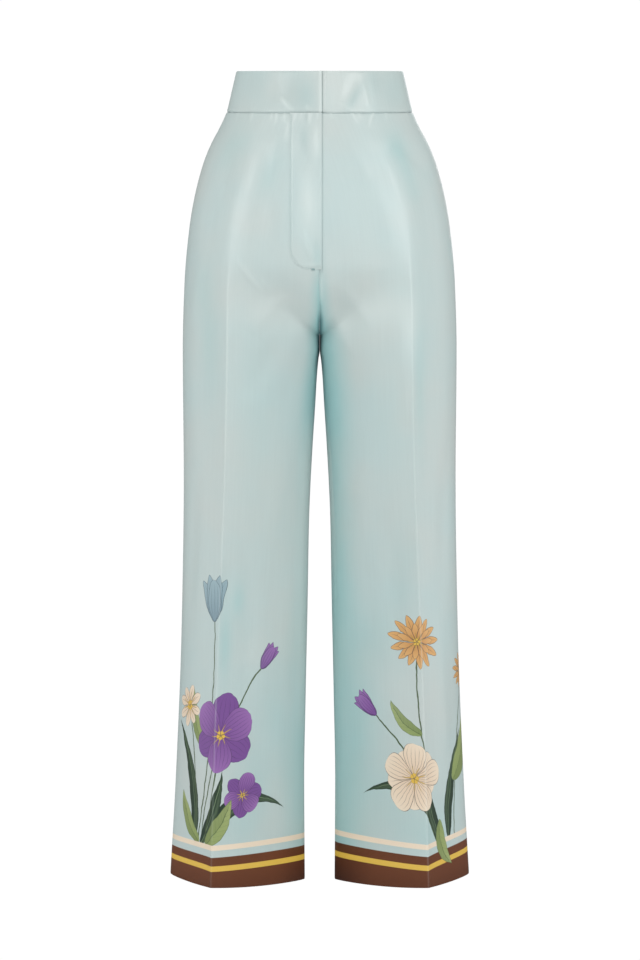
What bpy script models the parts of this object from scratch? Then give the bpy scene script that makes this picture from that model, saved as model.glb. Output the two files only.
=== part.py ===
"""High-waisted straight-leg trousers with a pressed crease, filled out as on a wearer, from plain cloth panels.

Every panel lies on one form, which horizontal sections describe from the waist to the hem. A section of one
half starts at the centre front, or at the inseam below the crotch, and runs by the front crease, the side and
the back crease to the centre back or the inseam. The other half is its mirror image. Sizes are in millimetres
and degrees. The front faces -Y, the wearer's left is at +X, and the origin is the middle of the waistband.
"""

import math
from bisect import bisect_right
from enum import IntEnum
from typing import NamedTuple

import bpy
import numpy as np

MM = 0.001

CLOTH = 1.6  # the wall of every panel, with its seam turnings
SEAM = 0.3  # the gap between two pieces that are sewn together
BAND_TOP = 26.0  # heights at the side seam, from the middle of the waistband
WAIST_SEAM = -26.0
CROTCH_Z = -315.0
CROTCH_Y = -16.0
FRONT_FORK_Z = -232.0  # where the centre front seam starts to curve under
BACK_FORK_Z = -212.0
FORK_SPAN = 64.0  # the cloth between the legs follows the seam's curve out to here
HEM_Z = -1002.0

WAIST_DIP = 0.205  # the waist falls towards the front by this much of the depth
WAIST_RISE_LOSS = 0.0014  # and flattens out again behind, so that the back stands only a little higher
DIP_ENDS_Z = -200.0
HEM_LEAN = 0.043  # each hem rises outwards, square to its slanting leg
HEM_FRONT_RISE = 4.0  # and rises towards the front crease
HEM_SHAPING_Z = -900.0

FLY_EDGE_X = 3.0  # the right front laps over the left one by this much
FLY_WIDTH = 39.5
FLY_BOTTOM_Z = -239.5
FLY_CORNER = 25.0  # radius of the J at its foot
FLY_WALL = 1.0
LAP_LENGTH = 34.0  # the left end of the waistband runs on under the right one
LAP_BEND = 9.0

COLUMNS_FRONT = (6, 5)  # cells from the inner edge to the crease, and from the crease to the side seam
COLUMNS_BACK = (7, 7)
HIP_ROWS, FORK_ROWS, LEG_ROWS = 9, 8, 21
LEG_ROW_GROWTH = 1.5  # the rows of the leg stand closer just under the crotch
BAND_ROWS = 3
FLY_ROWS, FLY_CORNER_ROWS, FLY_COLUMNS = 8, 5, 6
STEP = 0.5  # for slopes along the height
CURVE_POINTS = 24  # on each of the four arcs of a section
FORK_POWER = 4.0  # how closely the growth of a panel at the fork is kept to its inner columns
COLUMNS_EVEN_Z = -560.0

BACK_LEG_PULL = 0.55  # how far an arc's handles reach, as a share of what it spans
MIDDLE_PULL = 0.38
INNER_CREASE_PULL = 0.36
OUTER_CREASE_PULL = 0.42
BACK_SIDE_PULL = 0.5
VALLEY = 0.8  # the least share of its own slope that the cloth keeps beside the crotch seam
CUT_GATHERING = 1.5  # a cut run has its points closer together near the middle
TRIM_POWER = 8  # a seam's gap is taken out of the columns next to it
SHARPEST_FOLD = 0.55  # the wall's inner side isn't stretched past this cosine
SHARP_EDGE = 35.0  # a bend of more degrees than this is shaded as an edge

CLOTH_COLOUR = (0.515, 0.605, 0.580)
CLOTH_ROUGHNESS = 0.42


class Mark(IntEnum):
    """The lines at which the panels end or are creased, in order along a section."""

    FRONT_EDGE = 0
    FRONT_CREASE = 1
    SIDE_SEAM = 2
    BACK_CREASE = 3
    BACK_EDGE = 4


FRONT_MARKS = (Mark.FRONT_EDGE, Mark.FRONT_CREASE, Mark.SIDE_SEAM)
BACK_MARKS = (Mark.SIDE_SEAM, Mark.BACK_CREASE, Mark.BACK_EDGE)
FORKS = {
    (Mark.FRONT_EDGE, Mark.FRONT_CREASE): FRONT_FORK_Z,
    (Mark.BACK_CREASE, Mark.BACK_EDGE): BACK_FORK_Z,
}


class Side(NamedTuple):
    """The outermost line of the form, the depth of the side seam, and how far the front's arc bends round here."""

    z: float
    x: float
    y: float
    seam_y: float
    pull: float


class Crease(NamedTuple):
    """A line down a panel: its place, the way the cloth runs across it, and how sharply it is folded."""

    z: float
    x: float
    y: float
    turn: float
    fold: float


class Centre(NamedTuple):
    """The centre front and centre back seams above the crotch."""

    z: float
    front_y: float
    back_y: float


class Inner(NamedTuple):
    """The innermost line of a leg, which above the crotch would cross the middle, the inseam's depth, and how
    far the front's arc bends round here."""

    z: float
    x: float
    y: float
    seam_y: float
    pull: float


SIDES = (
    Side(26.0, 106.6, 0.0, 0.0, 0.5),
    Side(0.0, 112.6, 0.0, 0.0, 0.5),
    Side(-26.0, 119.0, 1.0, 1.0, 0.5),
    Side(-37.0, 123.5, 1.5, 1.5, 0.5),
    Side(-49.0, 129.4, 2.0, 2.0, 0.5),
    Side(-67.0, 138.9, 3.0, 4.0, 0.5),
    Side(-85.0, 146.5, 4.0, 5.0, 0.5),
    Side(-103.0, 152.4, 5.0, 7.0, 0.5),
    Side(-139.0, 161.2, 6.0, 10.0, 0.5),
    Side(-174.0, 167.0, 7.0, 13.0, 0.5),
    Side(-246.0, 173.4, 8.0, 18.0, 0.5),
    Side(-330.0, 175.6, 8.0, 22.0, 0.5),
    Side(-497.0, 174.3, 8.0, 24.0, 0.5),
    Side(-676.0, 176.9, 8.0, 24.0, 0.44),
    Side(-881.0, 184.8, 8.0, 24.0, 0.27),
    Side(-1002.0, 191.8, 8.0, 24.0, 0.18),
)

FRONT_CREASES = (
    Crease(26.0, 60.0, -69.5, 28.0, 0.0),
    Crease(-26.0, 68.0, -76.0, 27.0, 0.0),
    Crease(-67.0, 82.0, -83.0, 23.0, 0.0),
    Crease(-139.0, 100.0, -88.0, 22.0, 0.0),
    Crease(-210.0, 110.0, -91.0, 20.0, 2.0),
    Crease(-282.0, 113.5, -94.5, 17.0, 14.0),
    Crease(-330.0, 114.0, -96.0, 15.0, 22.0),
    Crease(-395.0, 115.0, -96.0, 14.0, 29.0),
    Crease(-497.0, 117.5, -95.0, 13.0, 36.0),
    Crease(-600.0, 121.5, -93.5, 13.0, 40.0),
    Crease(-830.0, 130.0, -92.0, 20.0, 44.0),
    Crease(-1002.0, 134.8, -92.0, 25.0, 44.0),
)

BACK_CREASES = (
    Crease(26.0, 58.0, 71.0, 29.0, 0.0),
    Crease(-26.0, 66.0, 79.0, 28.0, 0.0),
    Crease(-67.0, 75.0, 91.0, 22.0, 0.0),
    Crease(-103.0, 78.0, 100.0, 18.0, 0.0),
    Crease(-139.0, 80.0, 107.0, 14.0, 0.0),
    Crease(-210.0, 80.0, 116.0, 6.0, 0.0),
    Crease(-282.0, 75.0, 118.5, -4.0, 2.0),
    Crease(-330.0, 70.0, 117.0, -10.0, 8.0),
    Crease(-395.0, 67.0, 113.0, -13.0, 20.0),
    Crease(-497.0, 68.0, 109.5, -13.0, 32.0),
    Crease(-600.0, 70.0, 108.0, -12.0, 38.0),
    Crease(-830.0, 74.0, 107.0, -11.0, 45.0),
    Crease(-1002.0, 74.0, 107.0, -11.0, 48.0),
)

CENTRES = (
    Centre(26.0, -84.0, 85.0),
    Centre(0.0, -87.5, 89.0),
    Centre(-26.0, -91.0, 93.0),
    Centre(-67.0, -97.0, 101.0),
    Centre(-103.0, -100.0, 107.0),
    Centre(-139.0, -102.5, 112.0),
    Centre(-174.0, -104.0, 115.0),
    Centre(-212.0, -104.5, 116.5),
    Centre(-232.0, -104.5, 116.5),
)

INNERS = (
    Inner(-212.0, -60.0, 4.0, -16.0, 0.55),
    Inner(-250.0, -30.0, -2.0, -16.0, 0.55),
    Inner(-290.0, -6.0, -10.0, -16.0, 0.55),
    Inner(-315.0, 0.3, -16.0, -16.0, 0.55),
    Inner(-343.0, 0.6, -12.0, -16.0, 0.55),
    Inner(-369.0, 1.8, -5.0, -16.0, 0.55),
    Inner(-395.0, 3.3, 1.0, -16.0, 0.55),
    Inner(-446.0, 7.7, 6.0, -17.0, 0.55),
    Inner(-497.0, 10.8, 8.0, -17.0, 0.55),
    Inner(-548.0, 12.8, 8.0, -17.0, 0.52),
    Inner(-650.0, 14.6, 8.0, -14.0, 0.44),
    Inner(-778.0, 17.2, 8.0, -6.0, 0.3),
    Inner(-881.0, 19.0, 8.0, 0.0, 0.2),
    Inner(-1002.0, 17.9, 8.0, 5.0, 0.12),
)


def along(table, z):
    """The row of a table at height z, by a smooth curve through its rows that never overshoots them."""
    rows = np.array(table[::-1], float)
    heights = rows[:, 0]
    z = min(max(z, heights[0]), heights[-1])
    gaps = np.diff(heights)[:, None]
    rises = np.diff(rows, axis=0) / gaps
    slopes = np.zeros_like(rows)
    slopes[0], slopes[-1] = rises[0], rises[-1]
    for k in range(1, len(rows) - 1):
        before, after = rises[k - 1], rises[k]
        steady = before * after > 0
        share = (gaps[k - 1] + 2 * gaps[k]) / (3 * (gaps[k - 1] + gaps[k]))
        mean = np.where(steady, (1 - share) * before + share * after, 1)
        slopes[k] = np.where(steady, before * after / mean, 0)
    k = min(bisect_right(heights.tolist(), z), len(rows) - 1) - 1
    gap = gaps[k, 0]
    t = (z - heights[k]) / gap
    value = (
        rows[k] * (1 + 2 * t) * (1 - t) ** 2
        + slopes[k] * gap * t * (1 - t) ** 2
        + rows[k + 1] * t * t * (3 - 2 * t)
        + slopes[k + 1] * gap * t * t * (t - 1)
    )
    return type(table[0])(*value)


def ease(value, start, end):
    """0 before start, 1 after end, and smooth in between. Start may be the higher one."""
    t = min(max((value - start) / (end - start), 0.0), 1.0)
    return t * t * (3 - 2 * t)


def direction(degrees):
    """The unit vector in the ground plane that points this way, counted from +X towards +Y."""
    return np.array([math.cos(math.radians(degrees)), math.sin(math.radians(degrees))])


def arc(start, start_way, start_pull, end, end_way, end_pull):
    """Points on a smooth arc from start to end, which leaves and arrives in the given ways."""
    t = np.linspace(0, 1, CURVE_POINTS + 1)[:, None]
    first = start + start_pull * direction(start_way)
    last = end - end_pull * direction(end_way)
    return (
        start * (1 - t) ** 3
        + 3 * first * t * (1 - t) ** 2
        + 3 * last * t * t * (1 - t)
        + end * t**3
    )


def fork(z, start_z, start_y):
    """The crotch seam's depth at height z, on a quarter ellipse, and how far out the cloth follows it."""
    lowered = min(max((start_z - z) / (start_z - CROTCH_Z), 0.0), 1.0)
    left = math.sqrt(1 - lowered * lowered)
    return start_y + (CROTCH_Y - start_y) * (1 - left), FORK_SPAN * max(left, 0.05)


def inner_arc(z, crease, seam_y, fork_z):
    """The run of a section from its inner edge to a crease, for the front or for the back.

    A leg's own run bends round to its innermost line. It goes on so above the crotch as far as the middle, and
    changes into the hip's run, which is square to the middle. The cloth between the legs hangs on the seam.
    """
    inner = along(INNERS, z)
    forward = math.copysign(1.0, inner.y - crease.y)
    point = np.array([inner.x, inner.y])
    at_crease = np.array([crease.x, crease.y])
    turn = forward * (crease.turn - crease.fold)
    pull = (inner.pull if forward > 0 else BACK_LEG_PULL) * abs(inner.y - crease.y)
    leg = arc(point, -90 * forward, pull, at_crease, turn, INNER_CREASE_PULL * (crease.x - inner.x))
    if z <= CROTCH_Z:
        return leg
    middle = SEAM / 2
    hip_end = np.array([middle, seam_y])
    hip = arc(hip_end, 0, MIDDLE_PULL * crease.x, at_crease, turn, INNER_CREASE_PULL * crease.x)
    cut = cut_at(leg, middle)
    hipward = ease(z, CROTCH_Z, fork_z)
    run = (1 - hipward) * cut + hipward * hip
    depth, reach = fork(z, fork_z, seam_y)
    shift = depth - run[0, 1]
    (x0, y0), (x1, y1) = run[:2]
    steepness = reach * abs((y1 - y0) / (x1 - x0)) / max(abs(shift), 1e-6)
    level = min(max(2.0 - VALLEY * steepness, 0.0), 2.0)  # keeps the seam the lowest line between the legs
    out = np.clip(run[:, 0] / reach, 0, 1)
    run[:, 1] += shift * (1 - out) ** 2 * (1 + level * out)
    return run


def cut_at(run, x):
    """The part of a run of points beyond x, as the same number of points."""
    steps = np.linalg.norm(np.diff(run, axis=0), axis=1)
    lengths = np.concatenate([[0.0], np.cumsum(steps)])
    start = float(np.interp(x, run[:, 0], lengths))
    wanted = start + (lengths[-1] - start) * np.linspace(0, 1, len(run)) ** CUT_GATHERING
    return np.stack([np.interp(wanted, lengths, run[:, k]) for k in (0, 1)], axis=1)


class Section(NamedTuple):
    """One half of the form at a height: points round the outside, and their arc lengths at five marks."""

    points: np.ndarray
    lengths: np.ndarray
    marks: tuple  # in the order of Mark


def crossing(points, lengths, first, last, depth):
    """The arc length at which the run of points from first to last passes a depth."""
    y = points[first : last + 1, 1]
    s = lengths[first : last + 1]
    order = np.argsort(y)
    return float(np.interp(depth, y[order], s[order]))


def section(z):
    """The form's section at height z, for the half at +X."""
    front, back, side = along(FRONT_CREASES, z), along(BACK_CREASES, z), along(SIDES, z)
    centre = along(CENTRES, z)
    at_front, at_back = np.array([front.x, front.y]), np.array([back.x, back.y])
    at_side = np.array([side.x, side.y])
    front_way, back_way = front.turn + front.fold, 180 - back.turn - back.fold
    front_pulls = OUTER_CREASE_PULL * (side.x - front.x), side.pull * (side.y - front.y)
    back_pulls = BACK_SIDE_PULL * (back.y - side.y), OUTER_CREASE_PULL * (side.x - back.x)
    arcs = (
        inner_arc(z, front, centre.front_y, FRONT_FORK_Z),
        arc(at_front, front_way, front_pulls[0], at_side, 90, front_pulls[1]),
        arc(at_side, 90, back_pulls[0], at_back, back_way, back_pulls[1]),
        inner_arc(z, back, centre.back_y, BACK_FORK_Z)[::-1],
    )
    closing = []
    n = CURVE_POINTS
    if z <= CROTCH_Z:  # a closed leg starts and ends at its inseam, just in front of its innermost point
        closing = [arcs[0][1:]]
    points = np.concatenate([arcs[0], arcs[1][1:], arcs[2][1:], arcs[3][1:], *closing])
    steps = np.linalg.norm(np.diff(points, axis=0), axis=1)
    lengths = np.concatenate([[0.0], np.cumsum(steps)])
    seam = crossing(points, lengths, int(1.5 * n), int(2.6 * n), side.seam_y)
    start, end = 0.0, float(lengths[4 * n])
    if z <= CROTCH_Z:
        start = crossing(points, lengths, 0, n, along(INNERS, z).seam_y)
        end = float(lengths[4 * n]) + start
    return Section(points, lengths, (start, float(lengths[n]), seam, float(lengths[3 * n]), end))


def raised(x, y, z):
    """The true height of a point: the waist dips towards the front, and the hem follows its slanting leg."""
    waist = ease(z, DIP_ENDS_Z, WAIST_SEAM)
    dip = WAIST_DIP * y - WAIST_RISE_LOSS * max(y, 0.0) ** 2
    hem = ease(z, HEM_SHAPING_Z, HEM_Z)
    crease = along(FRONT_CREASES, HEM_Z)
    lean = HEM_LEAN * (x - along(SIDES, HEM_Z).x)
    forward = min(max(-y / -crease.y, 0.0), 1.0)
    return z + waist * dip + hem * (lean + HEM_FRONT_RISE * forward**3)


class Form:
    """The outside of one half of the trousers, read by height and by arc length from a mark."""

    def __init__(self):
        self.known = {}

    def at(self, z):
        """The section at height z, kept for the next time."""
        if z not in self.known:
            self.known[z] = section(z)
        return self.known[z]

    def flat(self, z, s):
        """The ground-plane point at arc length s."""
        here = self.at(z)
        return np.array([np.interp(s, here.lengths, here.points[:, k]) for k in (0, 1)])

    def reading(self, z, first, last, share):
        """The arc length a share of the way from one mark to another.

        Below the hip, the run from a crease to the inner edge grows by the depth of the fork. The columns near
        the crease keep their distance from it, the inner ones take up the growth, and then they even out.
        """
        marks = self.at(z).marks
        run = marks[last] - marks[first]
        if (first, last) not in FORKS or z > FORKS[first, last]:
            return marks[first] + share * run
        hip = self.at(FORKS[first, last]).marks
        kept = hip[last] - hip[first]
        power = 1 + (FORK_POWER - 1) * ease(z, COLUMNS_EVEN_Z, CROTCH_Z)
        if first == Mark.FRONT_EDGE:
            inward = 1 - share
            return marks[last] - inward * kept - (run - kept) * inward**power
        return marks[first] + share * kept + (run - kept) * share**power

    def point_and_normal(self, z, first, last, share, trim):
        """The outer point there, its outward normal, and how much a fold stretches the wall's inner side."""
        s = self.reading(z, first, last, share) + trim
        here = self.flat(z, s)
        before, after = self.flat(z, s) - self.flat(z, s - STEP), self.flat(z, s + STEP) - self.flat(z, s)
        ways = [math.atan2(v[1], v[0]) for v in (before, after) if np.linalg.norm(v) > 1e-6]
        turn = (ways[-1] - ways[0] + math.pi) % (2 * math.pi) - math.pi
        way = ways[0] + turn / 2
        outward = np.array([math.sin(way), -math.cos(way)])
        low, high = max(z - STEP, HEM_Z), min(z + STEP, BAND_TOP)
        if z > CROTCH_Z:
            low = max(low, CROTCH_Z + 0.01)
        else:
            high = min(high, CROTCH_Z)
        moved = self.flat(high, self.reading(high, first, last, share) + trim)
        moved = moved - self.flat(low, self.reading(low, first, last, share) + trim)
        slope = float(moved @ outward) / max(high - low, 1e-6)
        normal = np.array([outward[0], outward[1], -slope])
        normal /= np.linalg.norm(normal)
        stretch = 1 / max(math.cos(turn / 2), SHARPEST_FOLD)
        return np.array([here[0], here[1], raised(here[0], here[1], z)]), normal, stretch


def rows_of_leg():
    """The heights of a leg panel's rows, from the waist seam to the hem."""
    top = WAIST_SEAM - SEAM / 2
    hip = [top + (FRONT_FORK_Z - top) * k / HIP_ROWS for k in range(HIP_ROWS)]
    quarter = math.pi / 2
    under = [
        FRONT_FORK_Z + (CROTCH_Z - FRONT_FORK_Z) * math.sin(quarter * k / FORK_ROWS)
        for k in range(FORK_ROWS + 1)
    ]
    leg = [CROTCH_Z + (HEM_Z - CROTCH_Z) * (k / LEG_ROWS) ** LEG_ROW_GROWTH for k in range(1, LEG_ROWS + 1)]
    return hip + under + leg


def grid_of(form, heights, marks, cells, start_trim, end_trim):
    """Outer and inner points of a panel, row by row. Cells are the columns between its three marks."""
    outer, inner = [], []
    first, middle, last = marks
    for z in heights:
        row = [(first, middle, k / cells[0]) for k in range(cells[0])]
        row += [(middle, last, k / cells[1]) for k in range(cells[1] + 1)]
        points, backs = [], []
        for number, (a, b, share) in enumerate(row):
            fade = number / (len(row) - 1)
            trim = start_trim(z) * (1 - fade) ** TRIM_POWER - end_trim(z) * fade**TRIM_POWER
            point, normal, stretch = form.point_and_normal(z, a, b, share, trim)
            points.append(point)
            backs.append(point - CLOTH * stretch * normal)
        outer.append(points)
        inner.append(backs)
    return np.array(outer), np.array(inner)


def mirrored(grid):
    """The same grid on the wearer's right, with its columns turned round so that faces still point out."""
    return grid[:, ::-1] * np.array([-1.0, 1.0, 1.0])


def cloth_material(name):
    """Pale blue-green satin for one piece."""
    material = bpy.data.materials.new(name)
    material.use_nodes = True
    shader = material.node_tree.nodes["Principled BSDF"]
    shader.inputs["Base Color"].default_value = (*CLOTH_COLOUR, 1.0)
    shader.inputs["Roughness"].default_value = CLOTH_ROUGHNESS
    shader.inputs["Metallic"].default_value = 0.0
    return material


def wall_between(name, outer, inner):
    """A closed wall between two grids of points, whose rows run down and, seen from outside, to the right."""
    rows, columns = outer.shape[:2]
    layer = rows * columns

    def at(row, column, side):
        return side * layer + row * columns + column

    faces = []
    for r in range(rows - 1):
        for c in range(columns - 1):
            faces.append((at(r, c, 0), at(r + 1, c, 0), at(r + 1, c + 1, 0), at(r, c + 1, 0)))
            faces.append((at(r, c, 1), at(r, c + 1, 1), at(r + 1, c + 1, 1), at(r + 1, c, 1)))
    edge = [(0, c) for c in range(columns)]
    edge += [(r, columns - 1) for r in range(1, rows)]
    edge += [(rows - 1, c) for c in range(columns - 2, -1, -1)]
    edge += [(r, 0) for r in range(rows - 2, 0, -1)]
    for here, there in zip(edge, edge[1:] + edge[:1]):
        faces.append((at(*here, 0), at(*there, 0), at(*there, 1), at(*here, 1)))
    mesh = bpy.data.meshes.new(name)
    points = np.concatenate([outer.reshape(-1, 3), inner.reshape(-1, 3)]) * MM
    mesh.from_pydata(points.tolist(), [], faces)
    mesh.materials.append(cloth_material(name))
    mesh.shade_smooth()
    mesh.set_sharp_from_angle(angle=math.radians(SHARP_EDGE))
    piece = bpy.data.objects.new(name, mesh)
    collection.objects.link(piece)
    return piece


def half_seam(z):
    """Half of the gap at a seam that runs down between two panels."""
    return SEAM / 2


def inner_trim(z):
    """The centre seams already stand clear of the middle. Below the crotch, the inseam needs its gap."""
    return SEAM / 2 if z <= CROTCH_Z else 0.0


def make_legs(form):
    """The four panels that reach from the waist seam to the hem."""
    heights = rows_of_leg()
    front = grid_of(form, heights, FRONT_MARKS, COLUMNS_FRONT, inner_trim, half_seam)
    back = grid_of(form, heights, BACK_MARKS, COLUMNS_BACK, half_seam, inner_trim)
    wall_between("front_left", *front)
    wall_between("back_left", *back)
    wall_between("front_right", *map(mirrored, front))
    wall_between("back_right", *map(mirrored, back))


def make_waistband(form):
    """A shaped waistband of three pieces. Its right front end laps over the left one."""
    low, high = WAIST_SEAM + SEAM / 2, BAND_TOP
    heights = [high + (low - high) * k / BAND_ROWS for k in range(BAND_ROWS + 1)]
    front = grid_of(form, heights, FRONT_MARKS, COLUMNS_FRONT, inner_trim, half_seam)
    back = grid_of(form, heights, BACK_MARKS, COLUMNS_BACK, half_seam, inner_trim)
    whole_back = [np.concatenate([half, mirrored(half)[:, 1:]], axis=1) for half in back]
    wall_between("waistband_back", *whole_back)

    right = [mirrored(half) for half in front]
    edge = [past_centre(form, heights, FLY_EDGE_X, inset) for inset in (0.0, CLOTH)]
    right = [np.concatenate([side[:, :-1], end], axis=1) for side, end in zip(right, edge)]
    wall_between("waistband_right", *right)

    under = [lapped_end(form, heights, inset) for inset in (0.0, CLOTH)]
    left = [np.concatenate([end, side[:, 1:]], axis=1) for side, end in zip(front, under)]
    wall_between("waistband_left", *left)


def across(form, z, x, inset):
    """A point of the front at a signed x near the centre, moved in from the outside by inset."""
    here = form.at(z)
    s = float(np.interp(abs(x), here.points[:CURVE_POINTS, 0], here.lengths[:CURVE_POINTS]))
    s = max(s, STEP)
    flat = form.flat(z, s)
    way = flat - form.flat(z, s - STEP)
    way /= np.linalg.norm(way)
    outward = np.array([way[1], -way[0]]) * inset
    side = math.copysign(1.0, x)
    y = flat[1] - outward[1]
    return np.array([side * (abs(x) - outward[0]), y, raised(abs(x), y, z)])


def past_centre(form, heights, x, inset):
    """One column of points just past the centre front."""
    return np.array([[across(form, z, x, inset)] for z in heights])


def lapped_end(form, heights, inset):
    """The columns of the left waistband, from its hidden end to where it comes out from under the right."""
    under = CLOTH + SEAM
    places = [(-LAP_LENGTH, under), (-LAP_LENGTH / 2, under), (FLY_EDGE_X + SEAM, under)]
    places += [(FLY_EDGE_X + SEAM + LAP_BEND, 0.0)]
    return np.array([[across(form, z, x, depth + inset) for x, depth in places] for z in heights])


def fly_outline():
    """The J of the fly: for each height, how far its sewn edge lies from its folded edge."""
    top = WAIST_SEAM - SEAM / 2
    corner_top = FLY_BOTTOM_Z + FLY_CORNER
    rows = [(top + (corner_top - top) * k / FLY_ROWS, FLY_WIDTH) for k in range(FLY_ROWS)]
    for k in range(FLY_CORNER_ROWS + 1):
        angle = math.pi / 2 * k / FLY_CORNER_ROWS
        z = corner_top - FLY_CORNER * math.sin(angle)
        rows.append((z, FLY_WIDTH - FLY_CORNER * (1 - math.cos(angle))))
    return rows


def make_fly(form):
    """The fly of the right front, thicker than the rest, which laps over the edge of the left front."""
    grids = []
    for inset in (-SEAM - FLY_WALL, -SEAM):
        grid = []
        for z, width in fly_outline():
            places = [FLY_EDGE_X - width * (1 - k / FLY_COLUMNS) for k in range(FLY_COLUMNS + 1)]
            grid.append([across(form, z, x, inset) for x in places])
        grids.append(np.array(grid))
    wall_between("fly", *grids)


for leftover in list(bpy.data.objects):
    bpy.data.objects.remove(leftover)
collection = bpy.data.collections.new("trousers")
bpy.context.scene.collection.children.link(collection)

half = Form()
make_legs(half)
make_waistband(half)
make_fly(half)
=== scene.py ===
"""High-waisted straight-leg trousers of printed satin: cloth, seams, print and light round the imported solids.

Sizes are in millimetres and degrees unless a name says otherwise, and become metres where a mesh is made. The
front faces -Y, the wearer's left is at +X, and the origin is the middle of the waistband.
"""

import logging
import math
from bisect import bisect_right
from collections.abc import Callable
from dataclasses import dataclass, field
from enum import Enum, IntEnum
from typing import NamedTuple

import bpy
import numpy as np
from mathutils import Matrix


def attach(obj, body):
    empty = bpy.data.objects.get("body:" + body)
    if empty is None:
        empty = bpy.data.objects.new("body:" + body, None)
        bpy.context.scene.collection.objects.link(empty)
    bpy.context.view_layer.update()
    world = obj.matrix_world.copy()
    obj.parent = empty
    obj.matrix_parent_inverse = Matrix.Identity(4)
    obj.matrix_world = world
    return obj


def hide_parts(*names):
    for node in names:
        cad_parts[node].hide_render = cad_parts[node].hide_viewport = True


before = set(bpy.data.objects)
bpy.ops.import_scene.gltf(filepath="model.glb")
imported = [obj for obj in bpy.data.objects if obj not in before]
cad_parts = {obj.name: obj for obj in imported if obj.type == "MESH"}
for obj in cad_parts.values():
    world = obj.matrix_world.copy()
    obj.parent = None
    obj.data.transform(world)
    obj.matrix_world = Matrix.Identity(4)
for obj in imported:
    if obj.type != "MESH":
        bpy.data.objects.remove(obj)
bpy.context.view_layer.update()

log = logging.getLogger("trousers")

MM = 0.001
HEM_Z = -1002.0
Colour = tuple[float, float, float]
Socket = bpy.types.NodeSocket
Value = float | Socket
Place = tuple[float, float]
Sockets = tuple[Socket, Socket]
Motifs = tuple["Blade", ...]


# ---------------------------------------------------------------- the form under the cloth


class Mark(IntEnum):
    """The lines at which the panels end or are creased, in order along a section."""

    FRONT_EDGE = 0
    FRONT_CREASE = 1
    SIDE_SEAM = 2
    BACK_CREASE = 3
    BACK_EDGE = 4


class Side(NamedTuple):
    """The outermost line of the form, the side seam's depth, and how far the front's arc bends round here."""

    z: float
    x: float
    y: float
    seam_y: float
    pull: float


class Crease(NamedTuple):
    """A line down a panel: its place, the way the cloth runs across it, and how sharply it is folded."""

    z: float
    x: float
    y: float
    turn: float
    fold: float


class Centre(NamedTuple):
    """The centre front and centre back seams above the crotch."""

    z: float
    front_y: float
    back_y: float


class Inner(NamedTuple):
    """The innermost line of a leg, the inseam's depth, and how far the front's arc bends round here."""

    z: float
    x: float
    y: float
    seam_y: float
    pull: float


def table(kind: type, *rows: tuple[float, ...]) -> tuple:
    """A table whose rows have the columns of their kind."""
    return tuple(kind(*row) for row in rows)


SIDES = table(
    Side,
    (26, 106.6, 0, 0, 0.5), (0, 112.6, 0, 0, 0.5), (-26, 119, 1, 1, 0.5), (-37, 123.5, 1.5, 1.5, 0.5),
    (-49, 129.4, 2, 2, 0.5), (-67, 138.9, 3, 4, 0.5), (-85, 146.5, 4, 5, 0.5), (-103, 152.4, 5, 7, 0.5),
    (-139, 161.2, 6, 10, 0.5), (-174, 167, 7, 13, 0.5), (-246, 173.4, 8, 18, 0.5),
    (-330, 175.6, 8, 22, 0.5), (-497, 174.3, 8, 24, 0.5), (-676, 176.9, 8, 24, 0.44),
    (-881, 184.8, 8, 24, 0.27), (-1002, 191.8, 8, 24, 0.18),
)

FRONT_CREASES = table(
    Crease,
    (26, 60, -69.5, 28, 0), (-26, 68, -76, 27, 0), (-67, 82, -83, 23, 0), (-139, 100, -88, 22, 0),
    (-210, 110, -91, 20, 2), (-282, 113.5, -94.5, 17, 14), (-330, 114, -96, 15, 22),
    (-395, 115, -96, 14, 29), (-497, 117.5, -95, 13, 36), (-600, 121.5, -93.5, 13, 40),
    (-830, 130, -92, 20, 44), (-1002, 134.8, -92, 25, 44),
)

BACK_CREASES = table(
    Crease,
    (26, 58, 71, 29, 0), (-26, 66, 79, 28, 0), (-67, 75, 91, 22, 0), (-103, 78, 100, 18, 0),
    (-139, 80, 107, 14, 0), (-210, 80, 116, 6, 0), (-282, 75, 118.5, -4, 2), (-330, 70, 117, -10, 8),
    (-395, 67, 113, -13, 20), (-497, 68, 109.5, -13, 32), (-600, 70, 108, -12, 38),
    (-830, 74, 107, -11, 45), (-1002, 74, 107, -11, 48),
)

CENTRES = table(
    Centre,
    (26, -84, 85), (0, -87.5, 89), (-26, -91, 93), (-67, -97, 101), (-103, -100, 107), (-139, -102.5, 112),
    (-174, -104, 115), (-212, -104.5, 116.5), (-232, -104.5, 116.5),
)

INNERS = table(
    Inner,
    (-212, -60, 4, -16, 0.55), (-250, -30, -2, -16, 0.55), (-290, -6, -10, -16, 0.55),
    (-315, 0.03, -16, -16, 0.55), (-333, 0.05, -14, -16, 0.55), (-343, 1.5, -12, -16, 0.55),
    (-369, 3.8, -5, -16, 0.55), (-395, 5.3, 1, -16, 0.55), (-446, 8.6, 6, -17, 0.55),
    (-497, 11.5, 8, -17, 0.55), (-548, 13.6, 8, -17, 0.52), (-650, 15.4, 8, -14, 0.44),
    (-778, 18.1, 8, -6, 0.3), (-881, 19.9, 8, 0, 0.2), (-1002, 19.1, 8, 5, 0.12),
)


class Shade(NamedTuple):
    """The inside of a leg: how dark a painted shade is close to its edge, and how strong a painted teal shade
    is further out.
    """

    z: float
    slot: float
    slot_reach: float
    depth: float
    depth_reach: float


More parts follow.
